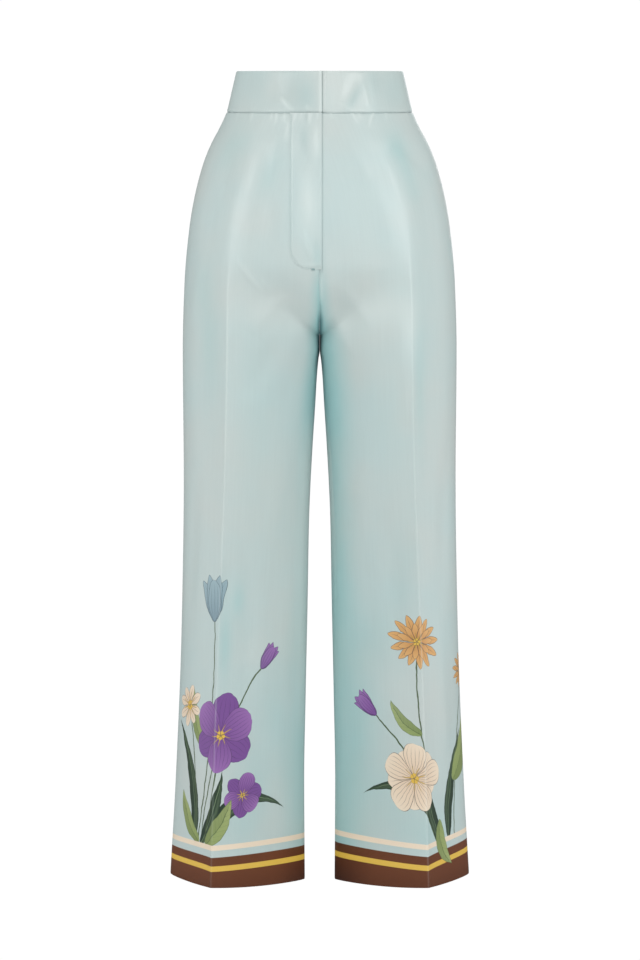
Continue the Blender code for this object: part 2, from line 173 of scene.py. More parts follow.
SHADES_RIGHT = table(
    Shade,
    (-205, 0, 3, 0, 8), (-240, 0.1, 2.6, 0.3, 9), (-267, 0.14, 2.6, 0.75, 10), (-285, 0.3, 3, 0.9, 11),
    (-300, 0.9, 3, 1, 12), (-335, 0.95, 3, 0.95, 12), (-350, 0.5, 3, 0.9, 12), (-366, 0, 3, 0.85, 13),
    (-400, -0.05, 9, 0.75, 13), (-440, -0.3, 9, 0.5, 12), (-500, -0.5, 9, 0.3, 10),
    (-600, -0.5, 9, 0.2, 10), (-700, -0.45, 9, 0.4, 16), (-780, -0.35, 9, 0.45, 14),
    (-840, -0.1, 9, 0.5, 20), (-1002, 0.02, 10, 0.6, 26),
)

SHADES_LEFT = table(
    Shade,
    (-205, 0, 3, 0, 8), (-240, 0.1, 2.6, 0.25, 9), (-267, 0.14, 2.6, 0.6, 11), (-285, 0.4, 3.2, 0.8, 13),
    (-300, 1, 4, 0.9, 17), (-320, 0.95, 3, 0.9, 23), (-335, 0.6, 2.2, 0.9, 25), (-350, 0.3, 2.2, 0.9, 26),
    (-366, 0, 6, 0.85, 27), (-400, -0.05, 6, 0.82, 27), (-440, -0.25, 6, 0.74, 24),
    (-500, -0.5, 6, 0.66, 20), (-560, -0.3, 6, 0.64, 20), (-640, 0, 6, 0.72, 24), (-720, 0, 6, 0.72, 34),
    (-850, 0, 9, 0.7, 40), (-1002, 0.07, 12, 0.8, 34),
)


class CreaseHighlight(NamedTuple):
    """How bright a painted highlight along the pressed front creases is."""

    z: float
    right: float
    left: float


CREASE_HIGHLIGHTS = table(
    CreaseHighlight,
    (-240, 0, 0), (-275, 0.22, 0.1), (-340, 0.34, 0.16), (-430, 0.38, 0.12), (-500, 0.2, 0.1),
    (-590, 0.26, 0.16), (-680, 0.18, 0.22), (-760, 0.24, 0.24), (-850, 0.14, 0.26), (-930, 0.1, 0.16),
    (-1002, 0.06, 0.06),
)


def ease(value: float | np.ndarray, start: float, end: float) -> np.ndarray:
    """0 before start, 1 after end, and smooth in between. Start may be the higher one."""
    t = np.clip((np.asarray(value, float) - start) / (end - start), 0.0, 1.0)
    return t * t * (3 - 2 * t)


def direction(degrees: float) -> np.ndarray:
    """The unit vector in the ground plane that points this way, counted from +X towards +Y."""
    return np.array([math.cos(math.radians(degrees)), math.sin(math.radians(degrees))])


def run_lengths(points: np.ndarray) -> np.ndarray:
    """How far along their run each of some points lies, by straight steps."""
    return np.concatenate([[0.0], np.cumsum(np.linalg.norm(np.diff(points, axis=0), axis=1))])


class Profile:
    """A table whose rows are joined down the height by a smooth curve that never overshoots them."""

    def __init__(self, table: tuple) -> None:
        """Finds the slope of each column at each row.

        Args:
            table: Rows from the highest to the lowest, each with its height first.
        """
        self.kind = type(table[0])
        self.rows = np.array(table[::-1], float)
        self.heights = self.rows[:, 0].tolist()
        self.gaps = np.diff(self.rows[:, 0])[:, None]
        rises = np.diff(self.rows, axis=0) / self.gaps
        self.slopes = np.zeros_like(self.rows)
        self.slopes[0], self.slopes[-1] = rises[0], rises[-1]
        for k in range(1, len(self.rows) - 1):
            (before, after), (lower, upper) = rises[k - 1 : k + 1], self.gaps[k - 1 : k + 1]
            steady = before * after > 0
            share = (lower + 2 * upper) / (3 * (lower + upper))
            mean = np.where(steady, (1 - share) * before + share * after, 1)
            self.slopes[k] = np.where(steady, before * after / mean, 0)

    def at(self, z: float) -> tuple:
        """The row at height z.

        Args:
            z: The height, which is kept within the table's.

        Returns:
            A row of the table's own kind.
        """
        z = min(max(z, self.heights[0]), self.heights[-1])
        k = min(bisect_right(self.heights, z), len(self.rows) - 1) - 1
        gap = self.gaps[k, 0]
        t = (z - self.heights[k]) / gap
        value = (
            self.rows[k] * (1 + 2 * t) * (1 - t) ** 2
            + self.slopes[k] * gap * t * (1 - t) ** 2
            + self.rows[k + 1] * t * t * (3 - 2 * t)
            + self.slopes[k + 1] * gap * t * t * (t - 1)
        )
        return self.kind(*value)


class Section(NamedTuple):
    """One half of the form at a height: points round the outside, and their arc lengths at the marks."""

    points: np.ndarray
    lengths: np.ndarray
    marks: tuple[float, ...]


@dataclass
class Form:
    """The outside of one half of the trousers, read by height and by arc length along a section.

    Pulls are how far the handles of its arcs reach, as shares of what they span.
    """

    seam: float = 0.06
    band_top: float = 26.0
    waist_seam: float = -26.0
    crotch_z: float = -315.0
    crotch_y: float = -16.0
    front_fork_z: float = -232.0
    back_fork_z: float = -212.0
    fork_span: float = 83.0
    fork_narrowing: float = 1.7
    least_fork: float = 0.05
    hem_z: float = HEM_Z
    waist_dip: float = 0.205
    waist_rise_loss: float = 0.0014
    dip_ends_z: float = -200.0
    hem_lean: float = 0.043
    hem_front_rise: float = 4.0
    hem_shaping_z: float = -900.0
    fork_power: float = 4.0
    columns_even_z: float = -560.0
    back_leg_pull: float = 0.55
    middle_pull: float = 0.38
    inner_pull: float = 0.36
    outer_pull: float = 0.42
    back_side_pull: float = 0.5
    valley: float = 0.8
    cut_gathering: float = 1.5
    arc_points: int = 72
    slope_step: float = 0.5
    known: dict[float, Section] = field(default_factory=dict)

    def __post_init__(self) -> None:
        """Reads the tables."""
        self.sides = Profile(SIDES)
        self.fronts = Profile(FRONT_CREASES)
        self.backs = Profile(BACK_CREASES)
        self.centres = Profile(CENTRES)
        self.inners = Profile(INNERS)
        self.forks = {
            (Mark.FRONT_EDGE, Mark.FRONT_CREASE): self.front_fork_z,
            (Mark.BACK_CREASE, Mark.BACK_EDGE): self.back_fork_z,
        }

    def arc(
        self, start: np.ndarray, way: float, pull: float, end: np.ndarray, end_way: float, end_pull: float
    ) -> np.ndarray:
        """Points on a smooth arc.

        Args:
            start: Where it starts.
            way: The direction in which it leaves.
            pull: How far the first handle reaches.
            end: Where it ends.
            end_way: The direction in which it arrives.
            end_pull: How far the last handle reaches.

        Returns:
            The points, one a row.
        """
        t = np.linspace(0, 1, self.arc_points + 1)[:, None]
        first = start + pull * direction(way)
        last = end - end_pull * direction(end_way)
        return (
            start * (1 - t) ** 3
            + 3 * first * t * (1 - t) ** 2
            + 3 * last * t * t * (1 - t)
            + end * t**3
        )

    def cut_at(self, run: np.ndarray, x: float) -> np.ndarray:
        """The part of a run of points beyond x.

        Args:
            run: The points, one a row.
            x: Where the part starts.

        Returns:
            As many points as before.
        """
        lengths = run_lengths(run)
        start = float(np.interp(x, run[:, 0], lengths))
        wanted = start + (lengths[-1] - start) * np.linspace(0, 1, len(run)) ** self.cut_gathering
        return np.stack([np.interp(wanted, lengths, run[:, k]) for k in (0, 1)], axis=1)

    def inner_arc(self, z: float, crease: Crease, seam_y: float, fork_z: float) -> np.ndarray:
        """The run of a section from its inner edge to a crease, for the front or for the back.

        Args:
            z: The height.
            crease: The crease where the run ends.
            seam_y: The depth of the centre seam above the crotch.
            fork_z: The height at which that seam starts to curve under.

        Returns:
            The points, one a row.
        """
        inner = self.inners.at(z)
        forward = math.copysign(1.0, inner.y - crease.y)
        point, at_crease = np.array([inner.x, inner.y]), np.array([crease.x, crease.y])
        turn = forward * (crease.turn - crease.fold)
        pull = (inner.pull if forward > 0 else self.back_leg_pull) * abs(inner.y - crease.y)
        leg = self.arc(point, -90 * forward, pull, at_crease, turn, self.inner_pull * (crease.x - inner.x))
        if z <= self.crotch_z:
            return leg
        middle = self.seam / 2
        hip_end = np.array([middle, seam_y])
        hip = self.arc(hip_end, 0, self.middle_pull * crease.x, at_crease, turn, self.inner_pull * crease.x)
        hipward = ease(z, self.crotch_z, fork_z)
        run = (1 - hipward) * self.cut_at(leg, middle) + hipward * hip
        lowered = min(max((fork_z - z) / (fork_z - self.crotch_z), 0.0), 1.0)
        left = math.sqrt(1 - lowered * lowered)
        reach = self.fork_span * max(left, self.least_fork) ** self.fork_narrowing
        shift = seam_y + (self.crotch_y - seam_y) * (1 - left) - run[0, 1]
        (x0, y0), (x1, y1) = run[0], run[self.arc_points // 24]
        steepness = reach * abs((y1 - y0) / (x1 - x0)) / max(abs(shift), 1e-6)
        level = min(max(3.0 - self.valley * steepness, 0.0), 3.0)
        out = np.clip(run[:, 0] / reach, 0, 1)
        run[:, 1] += shift * (1 - out) ** 3 * (1 + level * out)
        return run

    def section(self, z: float) -> Section:
        """The section at height z for the half at +X, kept for the next time."""
        if z not in self.known:
            self.known[z] = self.made_section(z)
        return self.known[z]

    def made_section(self, z: float) -> Section:
        """The section at a height, from its four arcs.

        Args:
            z: The height.

        Returns:
            The section of the half at +X.
        """
        front, back = self.fronts.at(z), self.backs.at(z)
        side, centre = self.sides.at(z), self.centres.at(z)
        at_front, at_back = np.array([front.x, front.y]), np.array([back.x, back.y])
        at_side = np.array([side.x, side.y])
        front_way, back_way = front.turn + front.fold, 180 - back.turn - back.fold
        front_out, back_out = (self.outer_pull * (side.x - crease.x) for crease in (front, back))
        front_pull, back_pull = side.pull * (side.y - front.y), self.back_side_pull * (back.y - side.y)
        arcs = (
            self.inner_arc(z, front, centre.front_y, self.front_fork_z),
            self.arc(at_front, front_way, front_out, at_side, 90, front_pull),
            self.arc(at_side, 90, back_pull, at_back, back_way, back_out),
            self.inner_arc(z, back, centre.back_y, self.back_fork_z)[::-1],
        )
        n = self.arc_points
        closing = [arcs[0][1:]] if z <= self.crotch_z else []
        points = np.concatenate([arcs[0], *[arc[1:] for arc in arcs[1:]], *closing])
        lengths = run_lengths(points)
        seam = self.crossing(points, lengths, int(1.5 * n), int(2.6 * n), side.seam_y)
        start, end = 0.0, float(lengths[4 * n])
        if z <= self.crotch_z:
            start = self.crossing(points, lengths, 0, n, self.inners.at(z).seam_y)
            end = float(lengths[4 * n]) + start
        return Section(points, lengths, (start, float(lengths[n]), seam, float(lengths[3 * n]), end))

    def crossing(self, points: np.ndarray, lengths: np.ndarray, first: int, last: int, depth: float) -> float:
        """Where a run of points passes a depth.

        Args:
            points: The points of a section.
            lengths: Their arc lengths.
            first: The run's first point.
            last: Its last point.
            depth: The depth, which the run passes once.

        Returns:
            The arc length there.
        """
        y, s = points[first : last + 1, 1], lengths[first : last + 1]
        order = np.argsort(y)
        return float(np.interp(depth, y[order], s[order]))

    def readings(self, z: float, first: Mark, last: Mark, shares: np.ndarray) -> np.ndarray:
        """The arc lengths at shares of the way from one mark to the next.

        Args:
            z: The height.
            first: The mark where the run starts.
            last: The mark where it ends.
            shares: How far along each reading is, from 0 to 1.

        Returns:
            The arc lengths. Near the crotch the inner columns take up the depth of the fork.
        """
        marks = self.section(z).marks
        run = marks[last] - marks[first]
        fork_z = self.forks.get((first, last))
        if fork_z is None or z > fork_z:
            return marks[first] + shares * run
        hip = self.section(fork_z).marks
        kept = hip[last] - hip[first]
        power = 1 + (self.fork_power - 1) * ease(z, self.columns_even_z, self.crotch_z)
        if first == Mark.FRONT_EDGE:
            inward = 1 - shares
            return marks[last] - inward * kept - (run - kept) * inward**power
        return marks[first] + shares * kept + (run - kept) * shares**power

    def flat(self, z: float, s: np.ndarray) -> np.ndarray:
        """The ground-plane points at arc lengths s."""
        here = self.section(z)
        return np.stack([np.interp(s, here.lengths, here.points[:, k]) for k in (0, 1)], axis=-1)

    def raised(self, x: np.ndarray, y: np.ndarray, z: float) -> np.ndarray:
        """The true heights of points: the waist dips to the front, and the hem follows its slanting leg.

        Args:
            x: How far out each point is.
            y: How far back each is.
            z: The height by which their section is named.

        Returns:
            Their heights.
        """
        waist = ease(z, self.dip_ends_z, self.waist_seam)
        dip = self.waist_dip * y - self.waist_rise_loss * np.maximum(y, 0.0) ** 2
        hem = ease(z, self.hem_shaping_z, self.hem_z)
        lean = self.hem_lean * (x - self.sides.at(self.hem_z).x)
        return z + waist * dip + hem * (lean + self.front_rise(y))

    def front_rise(self, y: np.ndarray) -> np.ndarray:
        """How much the hem rises towards the front crease."""
        return self.hem_front_rise * np.clip(-y / -self.fronts.at(self.hem_z).y, 0.0, 1.0) ** 3

    def row(self, z: float, s: np.ndarray) -> np.ndarray:
        """The points of the form at height z and arc lengths s."""
        flat = self.flat(z, s)
        return np.column_stack([flat, self.raised(flat[:, 0], flat[:, 1], z)])

    def across_front(self, z: float, x: np.ndarray, out: np.ndarray) -> np.ndarray:
        """Points of the front near the middle.

        Args:
            z: The height.
            x: Signed distances from the middle.
            out: How far each point stands out from the form.

        Returns:
            The points, one a row.
        """
        here, n, step = self.section(z), self.arc_points, self.slope_step
        s = np.maximum(np.interp(np.abs(x), here.points[:n, 0], here.lengths[:n]), step)
        flat = self.flat(z, s)
        way = flat - self.flat(z, s - step)
        way /= np.linalg.norm(way, axis=1, keepdims=True)
        y = flat[:, 1] - way[:, 0] * out
        places = np.sign(x) * (np.abs(x) + way[:, 1] * out)
        return np.column_stack([places, y, self.raised(np.abs(x), y, z)])


# ---------------------------------------------------------------- folds


class Fade(Enum):
    """Where a fold runs out."""

    BOTH_ENDS = "both ends"
    FAR_END = "far end"


class Half(Enum):
    """The two halves of the trousers, with the sign of X on each."""

    LEFT = 1
    RIGHT = -1


class Face(Enum):
    """The front and the back, each with its three marks."""

    FRONT = (Mark.FRONT_EDGE, Mark.FRONT_CREASE, Mark.SIDE_SEAM)
    BACK = (Mark.SIDE_SEAM, Mark.BACK_CREASE, Mark.BACK_EDGE)


@dataclass(frozen=True)
class Fold:
    """A soft ridge, or a trough where its height is negative, along a line on a panel.

    The line runs between two places, each a height and a share across: 0 at the panel's first seam, 1 at its
    crease and 2 at its last seam. Bow bends the middle of the line upwards by millimetres, and gleam is how
    bright a highlight is painted along its crest, or below zero how dark a shade is painted there.
    """

    start: tuple[float, float]
    end: tuple[float, float]
    width: float
    height: float
    bow: float = 0.0
    gleam: float = 0.0
    fade: Fade = Fade.BOTH_ENDS

    def shape(self, points: np.ndarray, line: np.ndarray) -> np.ndarray:
        """How much of the fold's height each point has.

        Args:
            points: The panel's points, rows by columns by three.
            line: Points along the fold's line.

        Returns:
            The shares, rows by columns.
        """
        best = np.full(points.shape[:2], 1e9)
        along = np.zeros(points.shape[:2])
        for number, (here, there) in enumerate(zip(line[:-1], line[1:])):
            way = there - here
            t = np.clip((points - here) @ way / max(way @ way, 1e-9), 0, 1)
            distance = np.linalg.norm(points - here - t[..., None] * way, axis=-1)
            nearer = distance < best
            best = np.where(nearer, distance, best)
            along = np.where(nearer, (number + t) / (len(line) - 1), along)
        both = self.fade is Fade.BOTH_ENDS
        taper = np.sin(math.pi * along) ** 0.9 if both else np.cos(math.pi / 2 * along)
        return taper * np.exp(-((best / self.width) ** 2))


def folds(fade: Fade, *rows: tuple[float, ...]) -> tuple[Fold, ...]:
    """Folds that run out in the same way.

    Args:
        fade: Where they do.
        rows: Each one's height and place at its start and at its end, its width and height, and where it has
            them, its bow and its gleam.

    Returns:
        The folds.
    """
    return tuple(Fold(row[:2], row[2:4], *row[4:], fade=fade) for row in rows)


@dataclass(frozen=True)
class ToneAndLightPatch:
    """A soft patch of painted teal shade and mottled tone, or where its depth is negative, of painted
    highlight.

    Its middle is a height and a distance out from the front crease, or on the band and the fly from the
    middle. Slant moves it out by millimetres for each millimetre up, and shade is how much darker painted shade
    makes it.
    """

    middle: tuple[float, float]
    size: tuple[float, float]
    depth: float
    slant: float = 0.0
    shade: float = 0.0

    def shape(self, z: np.ndarray, places: np.ndarray) -> np.ndarray:
        """How strong it is.

        Args:
            z: The heights of the points.
            places: Their places across.

        Returns:
            A share for each point.
        """
        down = (z - self.middle[0]) / self.size[0]
        aside = (places - self.middle[1] - self.slant * (z - self.middle[0])) / self.size[1]
        return np.exp(-(down**2) - aside**2)


def tone_and_light_patches(*rows: tuple[float, ...]) -> tuple[ToneAndLightPatch, ...]:
    """Painted light, shade and mottle patches from each one's middle, size, depth, and any slant and shade."""
    return tuple(ToneAndLightPatch(row[:2], row[2:4], *row[4:]) for row in rows)


# ---------------------------------------------------------------- cloth pieces


@dataclass
class Grid:
    """Points of a panel, row by row from the top, with columns that run to the viewer's right.

    Across and up are its places on the flat cloth. The field after them is how strong a painted teal shade
    and a mottled tone are there, and the last field is how bright a painted highlight is, or below zero how
    dark a painted shade is.
    """

    points: np.ndarray
    across: np.ndarray
    up: np.ndarray
    tint: np.ndarray
    shine: np.ndarray

    def arrays(self) -> list[np.ndarray]:
        """The grid's arrays, in order."""
        return [self.points, self.across, self.up, self.tint, self.shine]

    def normals(self) -> np.ndarray:
        """The outward normals of the points."""
        down, right = np.gradient(self.points, axis=0), np.gradient(self.points, axis=1)
        normal = np.cross(down, right)
        return normal / np.maximum(np.linalg.norm(normal, axis=-1, keepdims=True), 1e-9)

    def lifted(self, lifts: np.ndarray) -> "Grid":
        """The same grid with its points moved out by the lifts."""
        return Grid(self.points + lifts[..., None] * self.normals(), *self.arrays()[1:])

    def patched(self, places: np.ndarray, patches: tuple[ToneAndLightPatch, ...]) -> "Grid":
        """The grid with soft patches of painted light, painted shade and mottled tone.

        Args:
            places: Each point's place across, as the patches count it.
            patches: The patches.

        Returns:
            A new grid.
        """
        tint, shine = self.tint, self.shine
        for patch in patches:
            shape = patch.shape(self.up + HEM_Z, places)
            tint = tint + max(patch.depth, 0.0) * shape
            shine = shine + (max(-patch.depth, 0.0) - patch.shade) * shape
        return Grid(self.points, self.across, self.up, np.clip(tint, 0, 1), shine)

    def columns(self, kept: slice | np.ndarray) -> "Grid":
        """The grid with only the columns that are kept."""
        return Grid(*[array[:, kept] for array in self.arrays()])

    def beside(self, other: "Grid") -> "Grid":
        """The grid with the other one's columns after its own."""
        return Grid(*[np.concatenate(pair, axis=1) for pair in zip(self.arrays(), other.arrays())])

    def mirrored(self) -> "Grid":
        """The same grid on the other half, with its columns turned round so that its faces point out."""
        turned = self.columns(slice(None, None, -1))
        turned.points = turned.points * np.array([-1.0, 1.0, 1.0])
        return turned

    def on(self, half: Half) -> "Grid":
        """The grid on the half it belongs to."""
        return self if half is Half.LEFT else self.mirrored()


@dataclass
class Cloth:
    """A sheet made from a grid, with a wall of cloth, and dressed."""

    name: str
    node: str
    grid: Grid
    slot: str
    flat: tuple[float, float]
    area: float
    wall: float = 1.0
    printed_below: float = -1e9
    sharp: float = 55.0

    def build(self, outside: list[bpy.types.Material], reverse: bpy.types.Material) -> bpy.types.Object:
        """Makes the mesh and its wall, and hangs it on the frame.

        Args:
            outside: The finish of the face, and where it is printed, the printed finish after it.
            reverse: The finish of the wrong side of the cloth.

        Returns:
            The finished piece.
        """
        rows, columns = self.grid.points.shape[:2]
        index = np.arange(rows * columns).reshape(rows, columns)
        faces = np.stack([index[:-1, :-1], index[1:, :-1], index[1:, 1:], index[:-1, 1:]], axis=-1)
        faces = faces.reshape(-1, 4)
        piece = laid(self.name, self.grid.points.reshape(-1, 3), faces.tolist())
        mesh = piece.data
        for material in [*outside, *[reverse] * len(outside)]:
            mesh.materials.append(material)
        pattern = mesh.uv_layers.new(name="cut")
        place = np.stack([self.grid.across, self.grid.up], axis=-1).reshape(-1, 2) * MM
        pattern.data.foreach_set("uv", place[faces.reshape(-1)].astype(np.float32).reshape(-1))
        # Point attributes: painted teal shade with mottle, and painted highlight and painted shade.
        for label, values in (("tint", self.grid.tint), ("shine", self.grid.shine)):
            attribute = mesh.attributes.new(label, "FLOAT", "POINT")
            attribute.data.foreach_set("value", values.reshape(-1).astype(np.float32))
        if len(outside) > 1:
            low = self.grid.up.reshape(-1)[faces].max(axis=1) < self.printed_below
            mesh.polygons.foreach_set("material_index", low.astype(np.int32))
        wall = piece.modifiers.new("wall", "SOLIDIFY")
        wall.thickness = self.wall * MM
        wall.offset = -1.0
        wall.material_offset = len(outside)
        apply_all(piece)
        piece.data.shade_smooth()
        piece.data.set_sharp_from_angle(angle=math.radians(self.sharp))
        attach(piece, "root")
        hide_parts(self.node)
        log.info("%s: %d triangles", piece.name, triangles(piece))
        return piece


def triangles(piece: bpy.types.Object) -> int:
    """How many triangles a piece has."""
    return sum(len(face.vertices) - 2 for face in piece.data.polygons)


def apply_all(piece: bpy.types.Object) -> None:
    """Applies the modifiers of a piece, in order."""
    bpy.ops.object.select_all(action="DESELECT")
    bpy.context.view_layer.objects.active = piece
    piece.select_set(True)
    for modifier in list(piece.modifiers):
        bpy.ops.object.modifier_apply(modifier=modifier.name)
    piece.select_set(False)


def laid(name: str, points: np.ndarray, faces: list) -> bpy.types.Object:
    """A new object in the scene with a mesh of its own.

    Args:
        name: What both are called.
        points: The mesh's points, in millimetres.
        faces: Its faces, as the numbers of their points.

    Returns:
        The object.
    """
    mesh = bpy.data.meshes.new(name)
    mesh.from_pydata((points * MM).tolist(), [], faces)
    piece = bpy.data.objects.new(name, mesh)
    bpy.context.scene.collection.objects.link(piece)
    return piece


def bunched(cells: int, share: float = 0.68) -> np.ndarray:
    """Shares from 0 to 1 that stand closer together at both ends."""
    t = np.linspace(0, 1, cells + 1)
    return (1 - share) * t + share * (1 - np.cos(math.pi * t)) / 2


@dataclass
class Tailor:
    """Cuts panels of the form, with their seams rolled in and their folds laid."""

    form: Form
    front_cells: tuple[int, int] = (46, 42)
    back_cells: tuple[int, int] = (50, 48)
    roll_width: float = 1.2
    seam_depth: float = 0.8
    seam_shadow: float = 0.26
    side_shadow: float = 0.12
    seam_shadow_width: float = 0.8
    fold_steps: int = 24
    crease_passes: int = 2
    seam_closing: float = 12.0

    def cells(self, face: Face) -> tuple[int, int]:
        """The columns of cells on each side of a face's crease."""
        return self.front_cells if face is Face.FRONT else self.back_cells

    def grid(self, face: Face, heights: np.ndarray) -> Grid:
        """The plain grid of a panel on the left half.

        Args:
            face: Which face of the trousers.
            heights: The heights of its rows, from the top.

        Returns:
            The grid, whose across is counted from the front crease round the outside of the leg.
        """
        form = self.form
        first, middle, last = face.value
        near, far = (bunched(cells) for cells in self.cells(face))
        points, across, up = [], [], []
        for z in heights.tolist():
            s = np.concatenate(
                [form.readings(z, first, middle, near)[:-1], form.readings(z, middle, last, far)]
            )
            fade = np.linspace(0, 1, len(s))
            gap = form.seam / 2
            start_gap = gap if face is Face.BACK or z <= form.crotch_z else 0.0
            end_gap = gap if face is Face.FRONT or z <= form.crotch_z else 0.0
            s = s + start_gap * (1 - fade) ** self.seam_closing - end_gap * fade**self.seam_closing
            row = form.row(z, s)
            points.append(row)
            across.append(s - form.section(z).marks[Mark.FRONT_CREASE])
            hem = ease(z, form.hem_shaping_z, form.hem_z)
            up.append(np.full(len(s), z - form.hem_z) + hem * form.front_rise(row[:, 1]))
        plain = self.softened(np.array(points), len(near) - 1)
        return Grid(plain, np.array(across), np.array(up), *np.zeros((2, *plain.shape[:2])))

    def softened(self, points: np.ndarray, column: int) -> np.ndarray:
        """The points with a fold rounded to the thickness of the cloth.

        Args:
            points: The points, rows by columns by three.
            column: The column of the fold.

        Returns:
            The same points.
        """
        for _ in range(self.crease_passes):
            near = slice(column - 2, column + 3)
            before, after = points[:, column - 3 : column + 2], points[:, column - 1 : column + 4]
            points[:, near] = 0.5 * points[:, near] + 0.25 * (before + after)
        return points

    def place(self, face: Face, z: float, share: float) -> np.ndarray:
        """A point of a face.

        Args:
            face: The face.
            z: The point's height.
            share: How far across it is: 0 at the first seam, 1 at the crease, 2 at the last seam.

        Returns:
            The point.
        """
        first, middle, last = face.value
        pair, part = ((first, middle), share) if share <= 1 else ((middle, last), share - 1)
        return self.form.row(z, self.form.readings(z, *pair, np.array([part])))[0]

    def line(self, face: Face, fold: Fold) -> np.ndarray:
        """Points along a fold's line.

        Args:
            face: The face on which it runs.
            fold: The fold.

        Returns:
            The points, one a row.
        """
        found = []
        for t in np.linspace(0, 1, self.fold_steps + 1):
            z = fold.start[0] + (fold.end[0] - fold.start[0]) * t + fold.bow * math.sin(math.pi * t)
            share = fold.start[1] + (fold.end[1] - fold.start[1]) * t
            found.append(self.place(face, float(min(z, self.form.band_top)), float(np.clip(share, 0, 2))))
        return np.array(found)

    def folded(self, grid: Grid, face: Face, laid_folds: tuple[Fold, ...]) -> Grid:
        """The grid with its folds laid, a highlight painted along each crest, and a shade where the gleam is
        negative.

        Args:
            grid: The plain grid.
            face: The face on which it lies.
            laid_folds: The folds.

        Returns:
            A new grid.
        """
        lifts, crest_highlights = np.zeros((2, *grid.points.shape[:2]))
        for fold in laid_folds:
            shape = fold.shape(grid.points, self.line(face, fold))
            lifts += fold.height * shape
            crest_highlights += fold.gleam * shape
        folded = grid.lifted(lifts)
        folded.shine = folded.shine + crest_highlights
        return folded

    def rolled(
        self, grid: Grid, first: float | np.ndarray, last: float | np.ndarray, top: float, foot: float
    ) -> Grid:
        """The grid with its edges rolled in, as at a seam, and with a shadow where that is deep.

        Args:
            grid: The panel.
            first: How deep the first column is rolled, also row by row.
            last: How deep the last column is rolled.
            top: How deep the first row is rolled.
            foot: How deep the last row is rolled.

        Returns:
            The rolled grid.
        """
        steps = np.linalg.norm(np.diff(grid.points, axis=1), axis=-1)
        run = np.concatenate([np.zeros((len(steps), 1)), np.cumsum(steps, axis=1)], axis=1)
        falls = np.linalg.norm(np.diff(grid.points, axis=0), axis=-1)
        drop = np.concatenate([np.zeros((1, falls.shape[1])), np.cumsum(falls, axis=0)], axis=0)
        edges = (
            (run, first, self.side_shadow),
            (run[:, -1:] - run, last, self.side_shadow),
            (drop, top, self.seam_shadow * (top > self.seam_depth)),
            (drop[-1:] - drop, foot, self.seam_shadow * (foot > self.seam_depth)),
        )
        rolled = grid.lifted(-sum(depth * np.exp(-((far / self.roll_width) ** 2)) for far, depth, _ in edges))
        for far, depth, shadow in edges:
            rolled.shine = rolled.shine - shadow * depth * np.exp(-((far / self.seam_shadow_width) ** 2))
        return rolled


